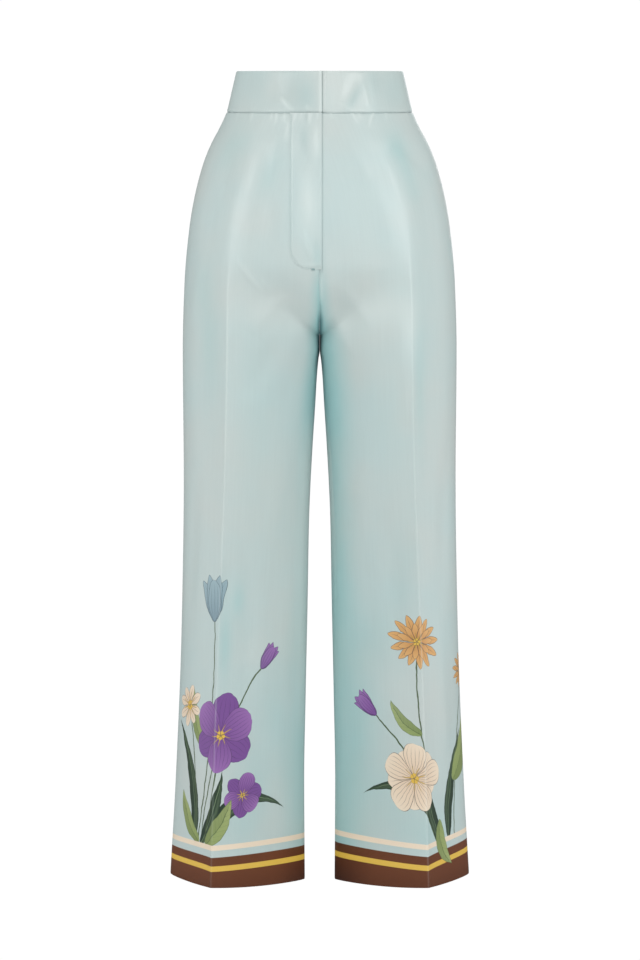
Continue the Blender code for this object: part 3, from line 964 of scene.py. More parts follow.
@dataclass
class Legs:
    """The four panels from the waist seam to the hem."""

    tailor: Tailor
    hip_rows: int = 66
    fork_rows: int = 36
    leg_rows: int = 208
    print_top: float = 420.0
    wall: float = 1.0
    crease_highlight_width: float = 1.0
    fly_edge: float = 3.4
    fly_shadow: float = 0.3
    fly_shadow_width: float = 0.8
    fly_shadow_foot: tuple[float, float] = (-248.0, -236.0)
    tint_end: float = 1.6
    even_share: float = 0.75
    even_power: float = 1.15
    seam_roll_ends: float = 20.0
    top_roll: float = 1.3
    hem_roll: float = 0.35
    side_roll: float = 0.6
    centre_roll: tuple[float, float] = (1.0, 0.15)
    panel_width: dict[Face, float] = field(default_factory=lambda: {Face.FRONT: 0.295, Face.BACK: 0.32})
    panel_length: float = 1.01
    panel_area: dict[Face, float] = field(default_factory=lambda: {Face.FRONT: 0.2515, Face.BACK: 0.2568})

    def heights(self) -> np.ndarray:
        """The heights of the rows.

        Returns:
            Heights from the top, closer together at the waist seam, at the crotch and at the hem.
        """
        form = self.tailor.form
        top = form.waist_seam - form.seam / 2
        t = np.linspace(0, 1, self.hip_rows + 1)[:-1]
        hip = top + (form.front_fork_z - top) * t**1.25
        under = form.front_fork_z + (form.crotch_z - form.front_fork_z) * np.sin(
            math.pi / 2 * np.linspace(0, 1, self.fork_rows + 1)
        )
        t = np.linspace(0, 1, self.leg_rows + 1)[1:]
        spread = (1 - self.even_share) * t**2 + self.even_share * np.sin(math.pi / 2 * t) ** self.even_power
        leg = form.crotch_z + (form.hem_z - form.crotch_z) * spread
        under[-1], leg[-1] = form.crotch_z, form.hem_z
        return np.concatenate([hip, under, leg])

    def read(self, rows: tuple, *names: str) -> list[np.ndarray]:
        """Columns of a table, read at the heights of the rows.

        Args:
            rows: The table.
            names: The columns.

        Returns:
            For each name an array of one column.
        """
        profile = Profile(rows)
        found = [profile.at(z) for z in self.heights().tolist()]
        return [np.array([[getattr(row, name)] for row in found]) for name in names]

    def inward(self, grid: Grid) -> np.ndarray:
        """How far each point lies from the inner edge of its leg, as seen from the front."""
        x = np.abs(grid.points[..., 0])
        return x - x.min(axis=1, keepdims=True)

    def shaded(self, face: Face, half: Half, grid: Grid) -> Grid:
        """The grid with painted teal shade and painted dark between the legs, and a painted highlight line
        along a pressed crease.

        Args:
            face: The face of the panel.
            half: Its half.
            grid: The panel.

        Returns:
            The same grid.
        """
        names = ("depth", "depth_reach", "slot", "slot_reach")
        depth, reach, slot, slot_reach = self.read(SHADES_LEFT if half is Half.LEFT else SHADES_RIGHT, *names)
        inward = self.inward(grid)
        # Painted teal shade fading out from the inner edge, and painted shade close to that edge.
        grid.tint = depth * (1 - ease(inward / reach, 0.0, self.tint_end))
        dark = slot * np.exp(-((inward / slot_reach) ** 2))
        if face is Face.FRONT:
            if half is Half.LEFT:
                beside_fly = np.exp(-(((grid.points[..., 0] - self.fly_edge) / self.fly_shadow_width) ** 2))
                along_fly = ease(grid.up + HEM_Z, *self.fly_shadow_foot)
                dark = np.maximum(dark, self.fly_shadow * beside_fly * along_fly)
            # A painted highlight line along the front crease.
            (strength,) = self.read(CREASE_HIGHLIGHTS, half.name.lower())
            grid.shine = grid.shine + strength * np.exp(-((grid.across / self.crease_highlight_width) ** 2))
        grid.shine = grid.shine - dark
        return grid

    def build(self, finishes: "Wardrobe") -> None:
        heights, form = self.heights(), self.tailor.form
        above, below = self.centre_roll
        rolled = ease(heights, form.crotch_z + self.seam_roll_ends, form.front_fork_z)
        centre = (below + (above - below) * rolled)[:, None]
        for face in Face:
            plain = self.tailor.grid(face, heights)
            edges = (centre, self.side_roll) if face is Face.FRONT else (self.side_roll, centre)
            for half in Half:
                name = f"{face.name.lower()}_{half.name.lower()}"
                grid = self.shaded(face, half, self.tailor.folded(plain, face, LEG_FOLDS[face, half]))
                grid = grid.patched(grid.across, TONE_AND_LIGHT_PATCHES[face, half])
                grid = self.tailor.rolled(grid, *edges, self.top_roll, self.hem_roll)
                sheet = Cloth(
                    name=f"cloth_{name}",
                    node=name,
                    grid=grid.on(half),
                    slot="printed_satin",
                    flat=(self.panel_width[face], self.panel_length),
                    area=self.panel_area[face],
                    wall=self.wall,
                    printed_below=self.print_top,
                )
                piece = sheet.build([finishes.satin, finishes.printed(face, half)], finishes.reverse)


@dataclass
class Waistband:
    """The shaped band: its back, its right front end that laps over, and its left one that runs on under."""

    tailor: Tailor
    rows: int = 26
    lap_x: float = 3.0
    lap_length: float = 34.0
    lap_bend: float = 6.0
    lap_inset: float = 1.9
    lap_columns: tuple[float, ...] = (-2.6, -1.9, -1.2, -0.4, 0.5, 1.4, 2.2, 2.7, 3.0)
    lap_lifts: tuple[float, ...] = (0.0, 0.1, 0.3, 0.4, 0.4, 0.3, 0.0, -0.4, -0.9)
    # Painted highlight along the lap's folded edge, and painted shade right at that edge.
    lap_shine: tuple[float, ...] = (0.0, 0.0, 0.15, 0.3, 0.4, 0.4, 0.3, 0.0, -0.2)
    under_shadow: float = 0.35
    under_shadow_width: float = 1.1
    hidden_columns: int = 16
    bend_columns: int = 8
    join: float = 1.0
    wall: float = 1.6
    roll: float = 0.7
    foot_roll: float = 0.9
    depth: float = 0.056

    def heights(self) -> np.ndarray:
        """The heights of the rows, closer together at both edges."""
        form = self.tailor.form
        low = form.waist_seam + form.seam / 2
        return form.band_top + (low - form.band_top) * bunched(self.rows, 0.6)

    def side(self, face: Face, half: Half) -> Grid:
        """A quarter of the band, with its folds.

        Args:
            face: The front or the back.
            half: The half to which its folds belong.

        Returns:
            Its grid, on the left half.
        """
        plain = self.tailor.grid(face, self.heights())
        grid = self.tailor.folded(plain, face, BAND_FOLDS[face, half])
        return grid.patched(grid.points[..., 0], BAND_TONE_AND_LIGHT_PATCHES[half]) if face is Face.FRONT else grid

    def near_middle(self, places: np.ndarray, out: np.ndarray) -> Grid:
        """Columns of the band near the centre front.

        Args:
            places: Signed distances from the middle, towards the wearer's left.
            out: How far each column stands out from the form.

        Returns:
            The grid, with its columns in the order of the places.
        """
        form = self.tailor.form
        heights = self.heights()
        points = np.array([form.across_front(float(z), places, out) for z in heights])
        across = np.tile(places - form.fronts.at(0.0).x, (len(heights), 1))
        up = np.tile((heights - form.hem_z)[:, None], (1, len(places)))
        return Grid(points, across, up, *np.zeros((2, *up.shape)))

    def back(self) -> Grid:
        """The band's back, from side seam to side seam."""
        right = self.side(Face.BACK, Half.RIGHT).mirrored()
        return self.side(Face.BACK, Half.LEFT).beside(right.columns(slice(1, None)))

    def right(self) -> Grid:
        """The right front end, whose free edge laps over the left one."""
        side = self.side(Face.FRONT, Half.RIGHT).mirrored()
        lap = self.near_middle(np.array(self.lap_columns), np.array(self.lap_lifts))
        lap.shine = np.tile(np.array(self.lap_shine), (len(lap.shine), 1))
        return side.columns(side.points[0, :, 0] < self.lap_columns[0] - self.join).beside(lap)

    def left(self) -> Grid:
        """The left front end, which bends back beside the lap and runs on under it.

        Returns:
            Its grid.
        """
        side = self.side(Face.FRONT, Half.LEFT)
        free_x = self.lap_x + self.tailor.form.seam
        hidden = np.linspace(-self.lap_length, free_x, self.hidden_columns)
        t = np.linspace(0, 1, self.bend_columns + 1)[1:]
        places = np.concatenate([hidden, free_x + self.lap_bend * t])
        risen = np.concatenate([np.zeros(self.hidden_columns), ease(t, 0.0, 1.0)])
        end = self.near_middle(places, -self.lap_inset * (1 - risen))
        end = end.patched(end.points[..., 0], BAND_TONE_AND_LIGHT_PATCHES[Half.LEFT])
        beside_lap = (places - free_x) / self.under_shadow_width
        end.shine = end.shine - self.under_shadow * np.exp(-(beside_lap**2))
        return end.beside(side.columns(side.points[0, :, 0] > places[-1] + self.join))

    def build(self, finishes: "Wardrobe") -> None:
        roll = self.roll
        for end, grid, first, last, width, area in (
            ("back", self.back(), roll, roll, 0.334, 0.0172),
            ("right", self.right(), roll, 0.0, 0.165, 0.0090),
            ("left", self.left(), 0.0, roll, 0.205, 0.0108),
        ):
            name = f"waistband_{end}"
            grid = self.tailor.rolled(grid, first, last, roll, self.foot_roll)
            flat = (width, self.depth)
            sheet = Cloth(f"cloth_{name}", name, grid, "plain_satin", flat, area, wall=self.wall)
            piece = sheet.build([finishes.satin], finishes.reverse)


@dataclass
class Fly:
    """The lap of the fly on the right front, whose edge is sewn down in a J."""

    tailor: Tailor
    lap_x: float = 3.0
    width: float = 39.5
    foot_z: float = -239.5
    corner: float = 25.0
    rise: float = 1.25
    edge_rise: float = 0.45
    slope: float = 5.0
    fold_slope: float = 1.3
    groove_width: float = 0.9
    groove_depth: float = 0.12
    wall: float = 0.3
    rows: int = 74
    corner_rows: int = 22
    columns: int = 34
    stitch_inset: float = 1.3
    stitch_pitch: float = 2.9
    stitch_length: float = 2.1
    thread: float = 0.24
    tack_place: tuple[float, float] = (-8.0, -238.4)
    tack_length: float = 4.4
    tack_bars: int = 5
    tack_pitch: float = 0.45
    edge_shadow: float = 0.25
    edge_shadow_width: float = 0.5

    def outline(self) -> list[tuple[float, float]]:
        """The outline of the lap.

        Returns:
            For each height, how far the sewn edge lies from the folded one.
        """
        form = self.tailor.form
        top = form.waist_seam - form.seam / 2
        corner_top = self.foot_z + self.corner
        rows = [(top + (corner_top - top) * k / self.rows, self.width) for k in range(self.rows)]
        for k in range(self.corner_rows + 1):
            angle = math.pi / 2 * k / self.corner_rows
            z = corner_top - self.corner * math.sin(angle)
            rows.append((z, self.width - self.corner * (1 - math.cos(angle))))
        return rows

    def height_at(self, z: float, x: np.ndarray, width: float) -> np.ndarray:
        """How far the lap stands out from the form, with both edges rounded down.

        Args:
            z: A height.
            x: Places along it, from the middle.
            width: How far the sewn edge lies from the folded one there.

        Returns:
            The rise at each place.
        """
        inward = np.minimum(x - (self.lap_x - width), max(z - self.foot_z, 0.0))
        body = (self.rise - self.edge_rise) * ease(inward, 0.0, self.slope)
        folded = 1 - ease(x, self.lap_x - self.fold_slope, self.lap_x)
        groove = np.exp(-(((inward - self.stitch_inset) / self.groove_width) ** 2))
        return self.edge_rise + body * folded - self.groove_depth * groove

    def grid(self) -> Grid:
        """The lap's grid.

        Returns:
            The grid, with small folds where the band pulls on the lap.
        """
        form = self.tailor.form
        points, across, up, shine = [], [], [], []
        for z, width in self.outline():
            x = self.lap_x - width * (1 - bunched(self.columns, 0.75))
            # Painted shadow beside the folded edge; the folds add painted highlight, and painted shade where
            # their gleam is negative.
            shine.append(-self.edge_shadow * np.exp(-(((x - self.lap_x) / self.edge_shadow_width) ** 2)))
            x[np.abs(x) < 1e-3] = 1e-3
            out = self.height_at(z, x, width)
            for fold in FLY_FOLDS:
                shape = self.fold_shape(fold, x, z)
                out = out + fold.height * shape
                shine[-1] = shine[-1] + fold.gleam * shape
            points.append(form.across_front(z, x, out))
            across.append(-x - form.fronts.at(z).x)
            up.append(np.full(len(x), z - form.hem_z))
        arrays = [np.array(rows) for rows in (points, across, up, shine)]
        grid = Grid(*arrays[:3], np.zeros(arrays[3].shape), arrays[3])
        return grid.patched(grid.points[..., 0], FLY_TONE_AND_LIGHT_PATCHES)

    def fold_shape(self, fold: Fold, x: np.ndarray, z: float) -> np.ndarray:
        """How strong a fold of the lap is along a row. Its places are heights and distances from the middle.

        Args:
            fold: The fold.
            x: The row's places from the middle.
            z: Its height.

        Returns:
            A share for each place.
        """
        place = np.stack([x, np.full(len(x), z), np.zeros(len(x))], axis=-1)[None]
        t = np.linspace(0, 1, 13)[:, None]
        start, end = (np.array([point[1], point[0], 0.0]) for point in (fold.start, fold.end))
        line = start * (1 - t) + end * t + np.array([0.0, fold.bow, 0.0]) * np.sin(math.pi * t)
        return fold.shape(place, line)[0]

    def stitch_line(self) -> np.ndarray:
        """The line of the J of stitches.

        Returns:
            Points that stand close together, from the waist seam to the lap's foot.
        """
        form = self.tailor.form
        found = []
        for z, width in self.outline():
            lifted = z + self.stitch_inset if z < self.foot_z + self.corner else z
            x = self.lap_x - width + self.stitch_inset
            out = self.height_at(lifted, np.array([x]), width) + self.thread * 0.2
            found.append(form.across_front(min(lifted, z + self.stitch_inset), np.array([x]), out)[0])
        return np.array(found)

    def stitches(self) -> list[tuple[np.ndarray, np.ndarray]]:
        """The stitches along the J, and the bars of the tack at its foot.

        Returns:
            The two ends of each.
        """
        line = self.stitch_line()
        run = run_lengths(line)
        starts = np.arange(2.0, run[-1] - 1.0, self.stitch_pitch)
        ends = np.stack([starts, starts + self.stitch_length], axis=-1)
        places = np.stack([np.interp(ends, run, line[:, k]) for k in range(3)], axis=-1)
        found = [(start, end) for start, end in places]
        form = self.tailor.form
        x, z = self.tack_place
        ends = np.array([x - self.tack_length / 2, x + self.tack_length / 2])
        for number in range(self.tack_bars):
            lift = np.full(2, self.edge_rise + self.thread * 0.3)
            pair = form.across_front(z - self.tack_pitch * number, ends, lift)
            found.append((pair[0], pair[1]))
        return found

    def thread_mesh(self) -> bpy.types.Object:
        """All the stitches as one mesh.

        Returns:
            The piece: short round threads that dip at their ends.
        """
        sides, rings = 6, 5
        points, faces = [], []
        for start, end in self.stitches():
            way = end - start
            length = np.linalg.norm(way)
            way = way / length
            outward = np.array([0.0, -1.0, 0.0])
            side = np.cross(way, outward)
            side /= np.linalg.norm(side)
            up = np.cross(side, way)
            base = len(points)
            for ring in range(rings):
                t = ring / (rings - 1)
                dip = 1 - (2 * t - 1) ** 2
                centre = start + way * length * t + up * self.thread * 0.55 * (dip - 0.6)
                radius = self.thread * (0.45 + 0.55 * math.sqrt(dip))
                for k in range(sides):
                    angle = 2 * math.pi * k / sides
                    points.append(centre + radius * (math.cos(angle) * side + math.sin(angle) * up))
            for ring in range(rings - 1):
                for k in range(sides):
                    a, b = base + ring * sides + k, base + ring * sides + (k + 1) % sides
                    faces.append((a, b, b + sides, a + sides))
            faces.append(tuple(base + k for k in reversed(range(sides))))
            faces.append(tuple(base + (rings - 1) * sides + k for k in range(sides)))
        piece = laid("fly_stitches", np.array(points), faces)
        piece.data.shade_smooth()
        return piece

    def build(self, finishes: "Wardrobe") -> None:
        flat, area = (0.040, 0.215), 0.0079
        sheet = Cloth("cloth_fly", "fly", self.grid(), "plain_satin", flat, area, wall=self.wall)
        piece = sheet.build([finishes.satin], finishes.reverse)
        threads = self.thread_mesh()
        threads.data.materials.append(finishes.thread)
        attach(threads, "root")
        log.info("%s: %d triangles", threads.name, triangles(threads))


FLY_FOLDS = (
    *folds(
        Fade.FAR_END,
        (-27, -29, -44, -34.5, 1.7, 0.7, 0, 0.5), (-27, -22, -38, -26, 1.6, 0.6, 0, 0.35),
        (-27, -11.5, -42, -13, 1.6, 0.8, 0, 0.6), (-27, -15.5, -40, -18, 1.8, -0.6, 0, -0.12),
        (-27, -3, -38, -3.6, 1.8, 0.5, 0, 0.3),
    ),
    *folds(
        Fade.BOTH_ENDS,
        (-36, -4.5, -88, -3.5, 3.4, 0.7, 0, 0.32), (-48, -24, -96, -12, 6, -0.9, -3, -0.06),
        (-100, -20, -188, -12, 8, 1.1, 2, 0.1), (-190, -22, -228, -8, 4.5, 0.8, -3, 0.1),
        (-200, -3, -236, -10, 4, -0.7, 0, -0.05),
    ),
)


LEG_FOLDS = {
    (Face.FRONT, Half.RIGHT): (
        *folds(
            Fade.FAR_END,
            (-27, 0.62, -40, 0.58, 1.8, 0.9, 0, 0.4), (-27, 0.77, -42, 0.75, 1.8, 1, 0, 0.5),
            (-27, 0.86, -36, 0.87, 1.6, 0.8, 0, 0.35), (-27, 1.2, -40, 1.18, 1.8, 0.9, 0, 0.4),
            (-27, 1.48, -37, 1.49, 1.8, 0.6, 0, 0.2),
        ),
        *folds(
            Fade.BOTH_ENDS,
            (-32, 0.535, -66, 0.51, 2.2, 0.7, 0, 0.4), (-40, 0.66, -110, 0.6, 7, 1.1),
            (-56, 0.95, -150, 0.86, 16, 1.4), (-70, 1.25, -160, 1.18, 13, -1.6),
            (-222, 0.94, -270, 0.56, 3, 1.1, -4, 0.14), (-246, 0.7, -268, 0.52, 3.5, 0.9),
            (-268, 0.35, -318, 0.72, 10, 1.6, 6), (-300, 0.3, -400, 0.8, 15, -1.4),
            (-170, 1.2, -310, 1.55, 16, 1.2, -8), (-130, 0.72, -225, 0.64, 13, -1.2),
            (-400, 0.35, -620, 0.45, 16, 1.5), (-560, 0.72, -790, 0.66, 15, -1.6),
            (-690, 0.3, -900, 0.36, 18, 1.7), (-470, 1.4, -700, 1.52, 16, -1.6),
            (-760, 1.3, -960, 1.26, 15, 1.5), (-596, 0.96, -668, 0.88, 11, -1.6),
        ),
    ),
    (Face.FRONT, Half.LEFT): (
        *folds(
            Fade.FAR_END,
            (-27, 0.2, -35, 0.22, 1.7, 0.6, 0, 0.25), (-27, 0.58, -40, 0.64, 1.8, 0.9, 0, 0.45),
            (-27, 0.7, -35, 0.69, 1.6, 0.6, 0, 0.25), (-27, 0.97, -46, 0.78, 2, 1.2, 0, 0.5),
            (-27, 1.18, -37, 1.16, 1.7, 0.8, 0, 0.25), (-27, 1.6, -40, 1.58, 1.8, 0.6, 0, 0.2),
        ),
        *folds(
            Fade.BOTH_ENDS,
            (-62, 1.12, -104, 1.5, 14, -2.6), (-78, 0.92, -160, 0.97, 8, 0.8, 0, 0.04),
            (-92, 1.05, -235, 1.18, 8, 0.5, 6), (-48, 0.35, -120, 0.62, 10, 1, -6),
            (-244, 0.015, -282, 0.02, 2.2, 0.4, 0, 0.35), (-250, 0.12, -320, 0.6, 9, 1.5, 10),
            (-285, 0.06, -350, 0.4, 8, 1.2, 6), (-150, 0.55, -240, 0.6, 15, -1.2),
            (-300, 0.9, -430, 0.94, 8, 1.3), (-420, 0.45, -610, 0.38, 17, 1.5),
            (-540, 0.7, -760, 0.78, 15, -1.6), (-720, 0.42, -930, 0.34, 17, 1.7),
            (-440, 1.45, -660, 1.36, 16, -1.6), (-680, 1.3, -900, 1.42, 15, 1.7),
        ),
    ),
    (Face.BACK, Half.RIGHT): (
        *folds(
            Fade.FAR_END,
            (-27, 0.42, -52, 0.45, 4.2, 0.7), (-27, 0.8, -46, 0.78, 3.6, 0.6),
            (-27, 1.22, -58, 1.26, 4.6, 0.8), (-27, 1.6, -44, 1.57, 3.6, 0.5),
        ),
        *folds(
            Fade.BOTH_ENDS,
            (-215, 1.92, -268, 1.3, 12, 1.5, -10), (-262, 1.9, -322, 1.25, 12, 1.6, -8),
            (-300, 1.75, -385, 1.1, 13, -1.3, -6), (-120, 0.6, -250, 0.5, 16, 1),
            (-400, 1.5, -600, 1.4, 16, 1.3), (-520, 0.55, -760, 0.62, 17, -1.3),
            (-640, 1.6, -880, 1.52, 16, 1.2), (-770, 0.48, -960, 0.42, 16, 1.2),
        ),
    ),
    (Face.BACK, Half.LEFT): (
        *folds(
            Fade.FAR_END,
            (-27, 0.36, -46, 0.34, 3.8, 0.6), (-27, 0.9, -56, 0.94, 4.4, 0.8),
            (-27, 1.38, -48, 1.36, 3.8, 0.6), (-27, 1.72, -42, 1.7, 3.2, 0.5),
        ),
        *folds(
            Fade.BOTH_ENDS,
            (-225, 1.94, -284, 1.38, 12, 1.5, -8), (-275, 1.86, -338, 1.18, 13, 1.6, -10),
            (-318, 1.7, -398, 1.2, 12, -1.2, -4), (-140, 0.52, -270, 0.6, 16, 1),
            (-430, 1.4, -620, 1.52, 16, 1.2), (-500, 0.6, -720, 0.5, 17, -1.3),
            (-690, 1.5, -900, 1.58, 16, 1.3), (-740, 0.55, -940, 0.6, 16, 1.1),
        ),
    ),
}

TONE_AND_LIGHT_PATCHES = {
    (Face.FRONT, Half.RIGHT): tone_and_light_patches(
        (-74, 30, 30, 24, 0.25), (-112, -32, 34, 14, 0.18), (-288, -72, 24, 42, -0.42),
        (-302, -98, 15, 18, -0.4), (-330, 30, 60, 18, 0.3), (-255, 45, 40, 18, 0.2),
        (-420, -40, 110, 30, 0.16), (-560, -70, 80, 30, 0.1), (-646, -26, 20, 9, 0.35),
        (-700, -10, 42, 9, 0.4), (-718, -48, 26, 22, -0.12), (-742, -92, 46, 22, 0.2),
        (-790, -84, 50, 20, 0.22, 0.3), (-880, -62, 50, 40, 0.25), (-930, -20, 30, 50, 0.2),
    ),
    (Face.FRONT, Half.LEFT): tone_and_light_patches(
        (-74, 15, 24, 20, 0.34), (-122, 20, 42, 13, 0.2), (-170, -50, 70, 34, -0.14),
        (-286, -52, 24, 48, -0.42), (-302, -94, 15, 18, -0.45), (-318, -2, 34, 12, -0.3),
        (-380, 12, 90, 10, 0.22), (-420, -30, 60, 26, 0.1), (-610, -20, 70, 22, 0.14, 0.2),
        (-694, -64, 40, 30, 0.28), (-760, -30, 30, 26, -0.1), (-800, -76, 50, 34, 0.25),
        (-900, -60, 50, 44, 0.3), (-930, 10, 30, 46, 0.3),
    ),
    (Face.BACK, Half.RIGHT): tone_and_light_patches(
        (-160, 210, 60, 40, 0.2), (-620, 250, 80, 40, 0.25), (-840, 200, 60, 40, 0.2),
    ),
    (Face.BACK, Half.LEFT): tone_and_light_patches(
        (-120, 190, 50, 36, 0.2), (-560, 230, 90, 36, 0.25), (-860, 270, 60, 40, 0.2),
    ),
}

FLY_TONE_AND_LIGHT_PATCHES = tone_and_light_patches(
    (-160, -14, 50, 13, -0.42), (-70, -6, 24, 6, -0.2), (-72, -30, 18, 6, -0.12),
    (-58, -19, 16, 6, 0.1, 0, 0.05), (-210, -16, 26, 9, 0.1, 0, 0.03), (-226, -2, 16, 6, 0.25, 0, 0.04),
)

BAND_TONE_AND_LIGHT_PATCHES = {
    Half.RIGHT: tone_and_light_patches(
        (-6, 17, 20, 12, 0.18, 0, 0.06), (-4, 40, 30, 18, 0.1, -0.2, 0.09), (8, 76, 24, 16, 0.1, 0, 0.02),
    ),
    Half.LEFT: tone_and_light_patches(
        (0, 17, 40, 15, -0.22), (-6, 44, 16, 7, 0.2, 0.5, 0.1), (12, 66, 18, 10, 0.12, 0, 0.07),
        (-10, 62, 22, 5, -0.12), (4, 96, 30, 20, 0.15, 0, 0.03),
    ),
}

BAND_FOLDS = {
    (Face.FRONT, Half.RIGHT): (
        *folds(
            Fade.FAR_END,
            (-9, 0.7, -25, 0.44, 2.4, 0.7, 0, 0.25),
        ),
        *folds(
            Fade.BOTH_ENDS,
            (-16, 0.24, -25, 0.16, 2.4, 0.6, 0, 0.15), (10, 0.8, -20, 1.25, 14, -0.9),
            (20, 0.25, -16, 0.45, 12, -0.8),
        ),
    ),
    (Face.FRONT, Half.LEFT): (
        *folds(
            Fade.BOTH_ENDS,
            (22, 0.74, -16, 0.44, 7, -1.3), (14, 0.86, -20, 0.92, 4, 0.7, 0, 0.08),
            (-12, 0.3, -25, 0.6, 3, 0.6, 0, 0.12), (20, 1.3, -16, 1.5, 12, -0.9),
        ),
    ),
    (Face.BACK, Half.RIGHT): (
        *folds(
            Fade.BOTH_ENDS,
            (24, 0.6, -18, 0.72, 12, -0.7), (10, 1.5, -24, 1.42, 9, 0.6),
        ),
    ),
    (Face.BACK, Half.LEFT): (
        *folds(
            Fade.BOTH_ENDS,
            (22, 0.8, -20, 0.66, 11, -0.7), (8, 1.3, -24, 1.42, 8, 0.6),
        ),
    ),
}


# ---------------------------------------------------------------- finishes


def linear(red: int, green: int, blue: int) -> Colour:
    """A colour that is named as a screen shows it, in the values that light works with."""
    shown = (red / 255, green / 255, blue / 255)
    return tuple(c / 12.92 if c <= 0.04045 else ((c + 0.055) / 1.055) ** 2.4 for c in shown)


class Dye(Enum):
    """The colours of the cloth, of its print and of its thread, and of the painted highlight and shade on the
    cloth.
    """

    PALE = linear(185, 204, 203)
    WARM = linear(193, 203, 200)
    # The teal of painted shade and mottle, the colour of painted shade, and that of painted highlight.
    DEEP = linear(206, 247, 249)
    DARK = linear(48, 112, 122)
    PRESSED = linear(214, 225, 222)
    REVERSE = linear(190, 204, 202)
    THREAD = linear(150, 178, 178)
    BROWN = linear(110, 61, 34)
    # A darker brown: painted shade between the legs, and darker towards the foot of the hem.
    BROWN_DEEP = linear(62, 31, 18)
    YELLOW = linear(222, 184, 74)
    CREAM = linear(232, 215, 192)
    CREAM_SHADE = linear(222, 198, 172)
    PURPLE = linear(150, 104, 172)
    PURPLE_DEEP = linear(122, 78, 150)
    PURPLE_PALE = linear(186, 150, 204)
    OCHRE = linear(218, 170, 108)
    OCHRE_DEEP = linear(196, 138, 78)
    BLUE = linear(150, 176, 184)
    BLUE_DEEP = linear(126, 152, 164)
    BLUE_INK = linear(62, 78, 88)
    DARK_LEAF = linear(44, 66, 52)
    DARK_LEAF_TIP = linear(56, 78, 56)
    LEAF_RIB = linear(116, 138, 106)
    LEAF_INK = linear(84, 104, 62)
    LIGHT_LEAF = linear(140, 158, 96)
    LIGHT_LEAF_TIP = linear(158, 172, 112)
    STEM = linear(92, 112, 72)
    INK = linear(84, 72, 68)
    VIOLET_INK = linear(74, 48, 96)
    GREEN_INK = linear(40, 58, 46)


@dataclass
class Bench:
    """Adds nodes to a shader tree and links them. A value is a number or another node's socket."""

    tree: bpy.types.NodeTree

    def add(self, kind: str, **settings: object) -> bpy.types.Node:
        """Adds a node.

        Args:
            kind: Blender's name for its type.
            settings: The properties to set.

        Returns:
            The new node.
        """
        node = self.tree.nodes.new(kind)
        for name, value in settings.items():
            setattr(node, name, value)
        return node

    def feed(self, socket: Socket, value: object) -> None:
        """Links a socket's source, or sets its value.

        Args:
            socket: The input.
            value: A number, a colour, a vector or another node's output.
        """
        if isinstance(value, bpy.types.NodeSocket):
            self.tree.links.new(value, socket)
        elif isinstance(value, tuple) and socket.type == "RGBA" and len(value) == 3:
            socket.default_value = (*value, 1.0)
        else:
            socket.default_value = value

    def math(self, operation: str, *values: Value, clamp: bool = False) -> Socket:
        """A Math node's result.

        Args:
            operation: What it works out.
            values: What it works on.
            clamp: Whether the result is kept between 0 and 1.

        Returns:
            Its output.
        """
        node = self.add("ShaderNodeMath", operation=operation, use_clamp=clamp)
        for socket, value in zip(node.inputs, values):
            self.feed(socket, value)
        return node.outputs[0]

    def vector(self, operation: str, *values: object) -> Socket:
        """A Vector Math node's vector.

        Args:
            operation: What it works out.
            values: What it works on.

        Returns:
            Its output.
        """
        node = self.add("ShaderNodeVectorMath", operation=operation)
        for socket, value in zip(node.inputs, values):
            self.feed(socket, value)
        return node.outputs["Vector"]

    def parts(self, vector: Socket) -> tuple[Socket, Socket, Socket]:
        """The three parts of a vector."""
        node = self.add("ShaderNodeSeparateXYZ")
        self.feed(node.inputs[0], vector)
        return node.outputs[0], node.outputs[1], node.outputs[2]

    def band(self, value: Value, low: Value, high: Value, before: float = 0.0, after: float = 1.0) -> Socket:
        """A value that goes from one number to another as a given value rises.

        Args:
            value: The given value.
            low: Where the change starts.
            high: Where it ends.
            before: The result up to there.
            after: The result from there on.

        Returns:
            The result.
        """
        node = self.add("ShaderNodeMapRange", clamp=True)
        for name, given in (("Value", value), ("From Min", low), ("From Max", high)):
            self.feed(node.inputs[name], given)
        node.inputs["To Min"].default_value = before
        node.inputs["To Max"].default_value = after
        return node.outputs["Result"]

    def mix(self, share: Value, first: object, second: object) -> Socket:
        """A colour between two others.

        Args:
            share: How much of the second one it has.
            first: One colour.
            second: The other.

        Returns:
            The mixed colour.
        """
        node = self.add("ShaderNodeMix", data_type="RGBA")
        self.feed(node.inputs["Factor"], share)
        colours = [socket for socket in node.inputs if socket.type == "RGBA"]
        self.feed(colours[0], first)
        self.feed(colours[1], second)
        return next(socket for socket in node.outputs if socket.type == "RGBA")

    def product(self, share: Value, first: object, second: object) -> Socket:
        """A colour multiplied by another one as far as the share says."""
        mixed = self.mix(share, first, second)
        mixed.node.blend_type = "MULTIPLY"
        return mixed

    def noise(self, place: Socket, *settings: float) -> bpy.types.Node:
        """A noise texture.

        Args:
            place: The place that it is read at.
            settings: Its scale and, where they differ from the usual ones, its detail and roughness.

        Returns:
            The node.
        """
        node = self.add("ShaderNodeTexNoise")
        self.feed(node.inputs["Vector"], place)
        for name, value in zip(("Scale", "Detail", "Roughness"), settings):
            node.inputs[name].default_value = value
        return node

    def use(self, group: bpy.types.NodeTree, **values: object) -> bpy.types.Node:
        """A node of a group.

        Args:
            group: The group.
            values: What its inputs are given. Their names stand here in lower case, with underscores.

        Returns:
            The new node.
        """
        node = self.add("ShaderNodeGroup", node_tree=group)
        for name, value in values.items():
            self.feed(node.inputs[name.replace("_", " ").title()], value)
        return node


